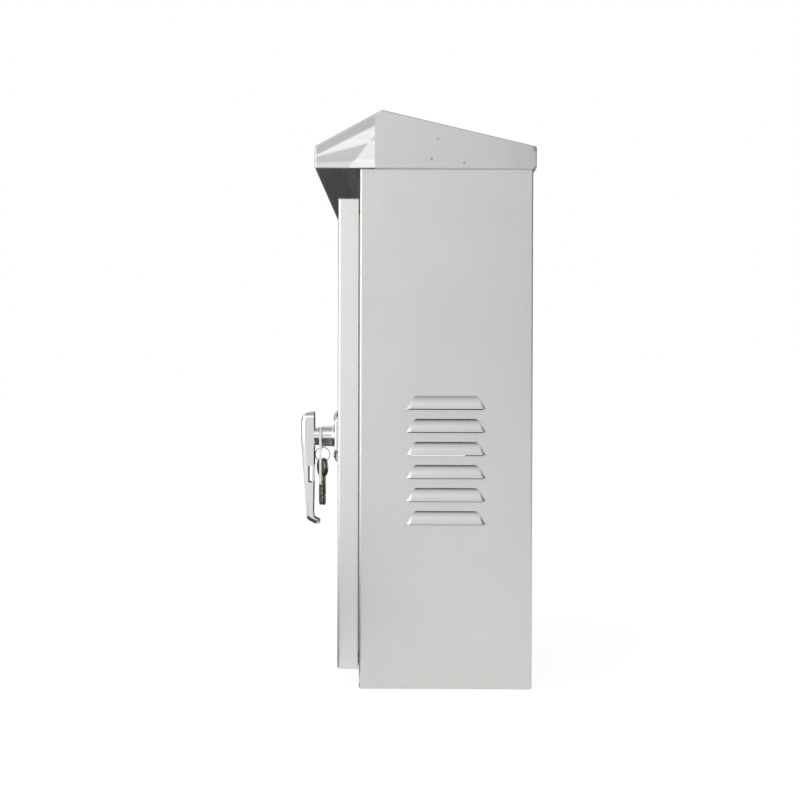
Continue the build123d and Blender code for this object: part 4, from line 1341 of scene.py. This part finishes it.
@dataclass
class Card:
    """A grey studio card that only reflections see, which gives metal its darker tones.

    Attributes:
        name: Its name.
        place: Its middle, in metres.
        aim: What it faces, in metres.
        size: Its width and height, in metres.
        level: Its tone, where one is paper white.
    """

    name: str
    place: tuple[float, float, float]
    aim: tuple[float, float, float]
    size: tuple[float, float]
    level: float

    def build(self) -> None:
        """Put the card in the scene, where only reflections see it."""
        mesh = bmesh.new()
        bmesh.ops.create_grid(mesh, x_segments=1, y_segments=1, size=0.5)
        bmesh.ops.scale(mesh, vec=(*self.size, 1.0), verts=mesh.verts)
        made = loose_object(self.name, mesh)
        towards = Vector(self.aim) - Vector(self.place)
        turn = towards.to_track_quat("Z", "Y").to_matrix().to_4x4()
        made.data.transform(Matrix.Translation(self.place) @ turn)
        tone = bpy.data.materials.new(self.name)
        tone.use_nodes = True
        tree = tone.node_tree
        tree.nodes.clear()
        grey = add_node(tree, "ShaderNodeEmission", {
            "Color": (self.level, self.level, self.level, 1.0), "Strength": 1.0,
        })
        add_node(tree, "ShaderNodeOutputMaterial", {"Surface": grey.outputs[0]})
        made.data.materials.append(tone)
        made.visible_camera = False
        made.visible_diffuse = False
        made.visible_shadow = False
        made.visible_transmission = False


@dataclass
class Studio:
    """The camera, the lights, the white surroundings and the pale floor.

    Attributes:
        camera_place: Where the photograph was taken from, in metres.
        camera_yaw: How far the camera looks off the -X direction, in degrees.
        camera_pitch: How far it looks up, in degrees.
        camera_roll: How far it is turned about its line of sight, in degrees.
        lens: The focal length.
        sensor: The width of the camera's sensor.
        surround: How bright the room lights matt surfaces.
        floor_glow: The share of the floor's white that shadows leave alone.
        floor_size: The floor's side, in metres.
        floor_paint: The floor's colour where it lights other things.
        floor_seen: The part of its colour that takes shadows, where it is looked at.
        lamps: The lights.
        cards: The grey cards round the object.
    """

    camera_place: tuple[float, float, float] = (1.75, -0.0389, 0.3485)
    camera_yaw: float = -0.54
    camera_pitch: float = -0.54
    camera_roll: float = 0.15
    lens: float = 58.54
    sensor: float = 36.0
    surround: float = 0.72
    floor_glow: float = 0.84
    floor_size: float = 60.0
    floor_paint: str = "#E6E6E6"
    floor_seen: str = "#8A8A8A"
    lamps: list[Lamp] = field(default_factory=lambda: [
        Lamp("front_softbox", (0.75, -2.5, 0.8), (0.1, 0.0, 0.3), (0.5, 2.2), 4.5),
        Lamp("side_softbox", (2.15, -1.45, 0.8), (0.1, 0.0, 0.3), (1.3, 1.8), 1.75),
        Lamp("high_softbox", (1.98, -0.48, 1.66), (0.25, -0.12, 0.62), (0.7, 0.45), 1.2),
    ])
    cards: list[Card] = field(default_factory=lambda: [
        Card("rear_card", (0.3, 2.4, 0.7), (0.1, 0.0, 0.3), (2.6, 2.0), 0.08),
        Card("far_card", (-2.5, -0.2, 0.55), (0.2, -0.2, 0.55), (2.6, 1.1), 0.08),
        Card("far_floor_card", (-1.5, 0.0, 0.004), (-1.5, 0.0, 1.0), (2.0, 0.9), 0.06),
        Card("left_card", (-1.5, -1.9, 0.5), (0.2, -0.1, 0.4), (2.6, 1.8), 0.10),
        Card("front_left_card", (-0.22, -2.67, 0.5), (0.17, -0.2, 0.4), (0.8, 1.8), 0.12),
        Card("front_right_card", (1.33, -2.3, 0.5), (0.17, -0.2, 0.4), (0.6, 1.8), 0.15),
        Card("overhead_card", (0.2, 0.3, 2.6), (0.1, 0.0, 0.3), (2.2, 2.0), 0.52),
        Card("right_card", (2.0, 0.78, 0.45), (0.2, 0.05, 0.35), (0.75, 1.4), 0.60),
        Card("under_card", (0.4, -0.55, 0.004), (0.4, -0.55, 1.0), (1.3, 0.8), 0.10),
    ])

    def build(self) -> None:
        """Build the whole studio."""
        view = bpy.context.scene.view_settings
        view.view_transform = "Standard"
        self.camera()
        self.world()
        self.floor()
        for item in (*self.lamps, *self.cards):
            item.build()

    def camera(self) -> None:
        """Put the camera where the photograph was taken from."""
        yaw, pitch = math.radians(self.camera_yaw), math.radians(self.camera_pitch)
        ahead = Vector((
            -math.cos(pitch) * math.cos(yaw), math.cos(pitch) * math.sin(yaw), math.sin(pitch)
        ))
        data = bpy.data.cameras.new("camera")
        data.lens = self.lens
        data.sensor_width = self.sensor
        made = bpy.data.objects.new("camera", data)
        made.location = self.camera_place
        made.rotation_mode = "QUATERNION"
        level = ahead.to_track_quat("-Z", "Y")
        roll = Matrix.Rotation(math.radians(self.camera_roll), 3, "Z").to_quaternion()
        made.rotation_quaternion = level @ roll
        bpy.context.scene.collection.objects.link(made)
        bpy.context.scene.camera = made

    def seen(self, tree: bpy.types.NodeTree) -> Any:
        """Return a socket that is one for rays that look straight, mirrored or through.

        Args:
            tree: The tree to add the nodes to.

        Returns:
            The socket.
        """
        path = add_node(tree, "ShaderNodeLightPath").outputs
        looked = add_node(tree, "ShaderNodeMath", {
            0: path["Is Camera Ray"], 1: path["Is Glossy Ray"],
        }, operation="MAXIMUM").outputs[0]
        return add_node(tree, "ShaderNodeMath", {0: looked, 1: path["Is Transmission Ray"]},
                        operation="MAXIMUM").outputs[0]

    def world(self) -> None:
        """Make a white surround that lights matt surfaces at a plain level."""
        world = bpy.data.worlds.new("surround")
        bpy.context.scene.world = world
        world.use_nodes = True
        tree = world.node_tree
        tree.nodes.clear()
        level = remap(tree, self.seen(tree), (0.0, 1.0), (self.surround, 1.0))
        light = add_node(tree, "ShaderNodeBackground", {
            "Color": (1.0, 1.0, 1.0, 1.0), "Strength": level,
        })
        add_node(tree, "ShaderNodeOutputWorld", {"Surface": light.outputs[0]})

    def floor(self) -> None:
        """Make the pale floor, which stays white and keeps the object's shadow."""
        mesh = bmesh.new()
        bmesh.ops.create_grid(mesh, x_segments=1, y_segments=1, size=self.floor_size / 2)
        made = loose_object("floor", mesh)
        paint = bpy.data.materials.new("pale_floor")
        paint.use_nodes = True
        tree = paint.node_tree
        tree.nodes.clear()
        matt, faint = (
            add_node(tree, "ShaderNodeBsdfDiffuse", {"Color": linear(code)}).outputs[0]
            for code in (self.floor_paint, self.floor_seen)
        )
        glow = add_node(tree, "ShaderNodeEmission", {
            "Color": (1.0, 1.0, 1.0, 1.0), "Strength": self.floor_glow,
        }).outputs[0]
        white = add_node(tree, "ShaderNodeAddShader", {0: faint, 1: glow}).outputs[0]
        both = add_node(tree, "ShaderNodeMixShader", {0: self.seen(tree), 1: matt, 2: white})
        add_node(tree, "ShaderNodeOutputMaterial", {"Surface": both.outputs[0]})
        made.data.materials.append(paint)


def main() -> None:
    """Build the studio and every sub-assembly in order."""
    logging.basicConfig(level=logging.INFO, format="%(name)s: %(message)s")
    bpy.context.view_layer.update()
    hardware = Fasteners()
    steps: list[Callable[[], None]] = [
        Studio().build, Shell(hardware).build, Door().build, Hinges(hardware).build,
        Lock(hardware).build, Keys().build, Interior(hardware).build,
    ]
    for step in steps:
        step()


if __name__ == "__main__":
    main()
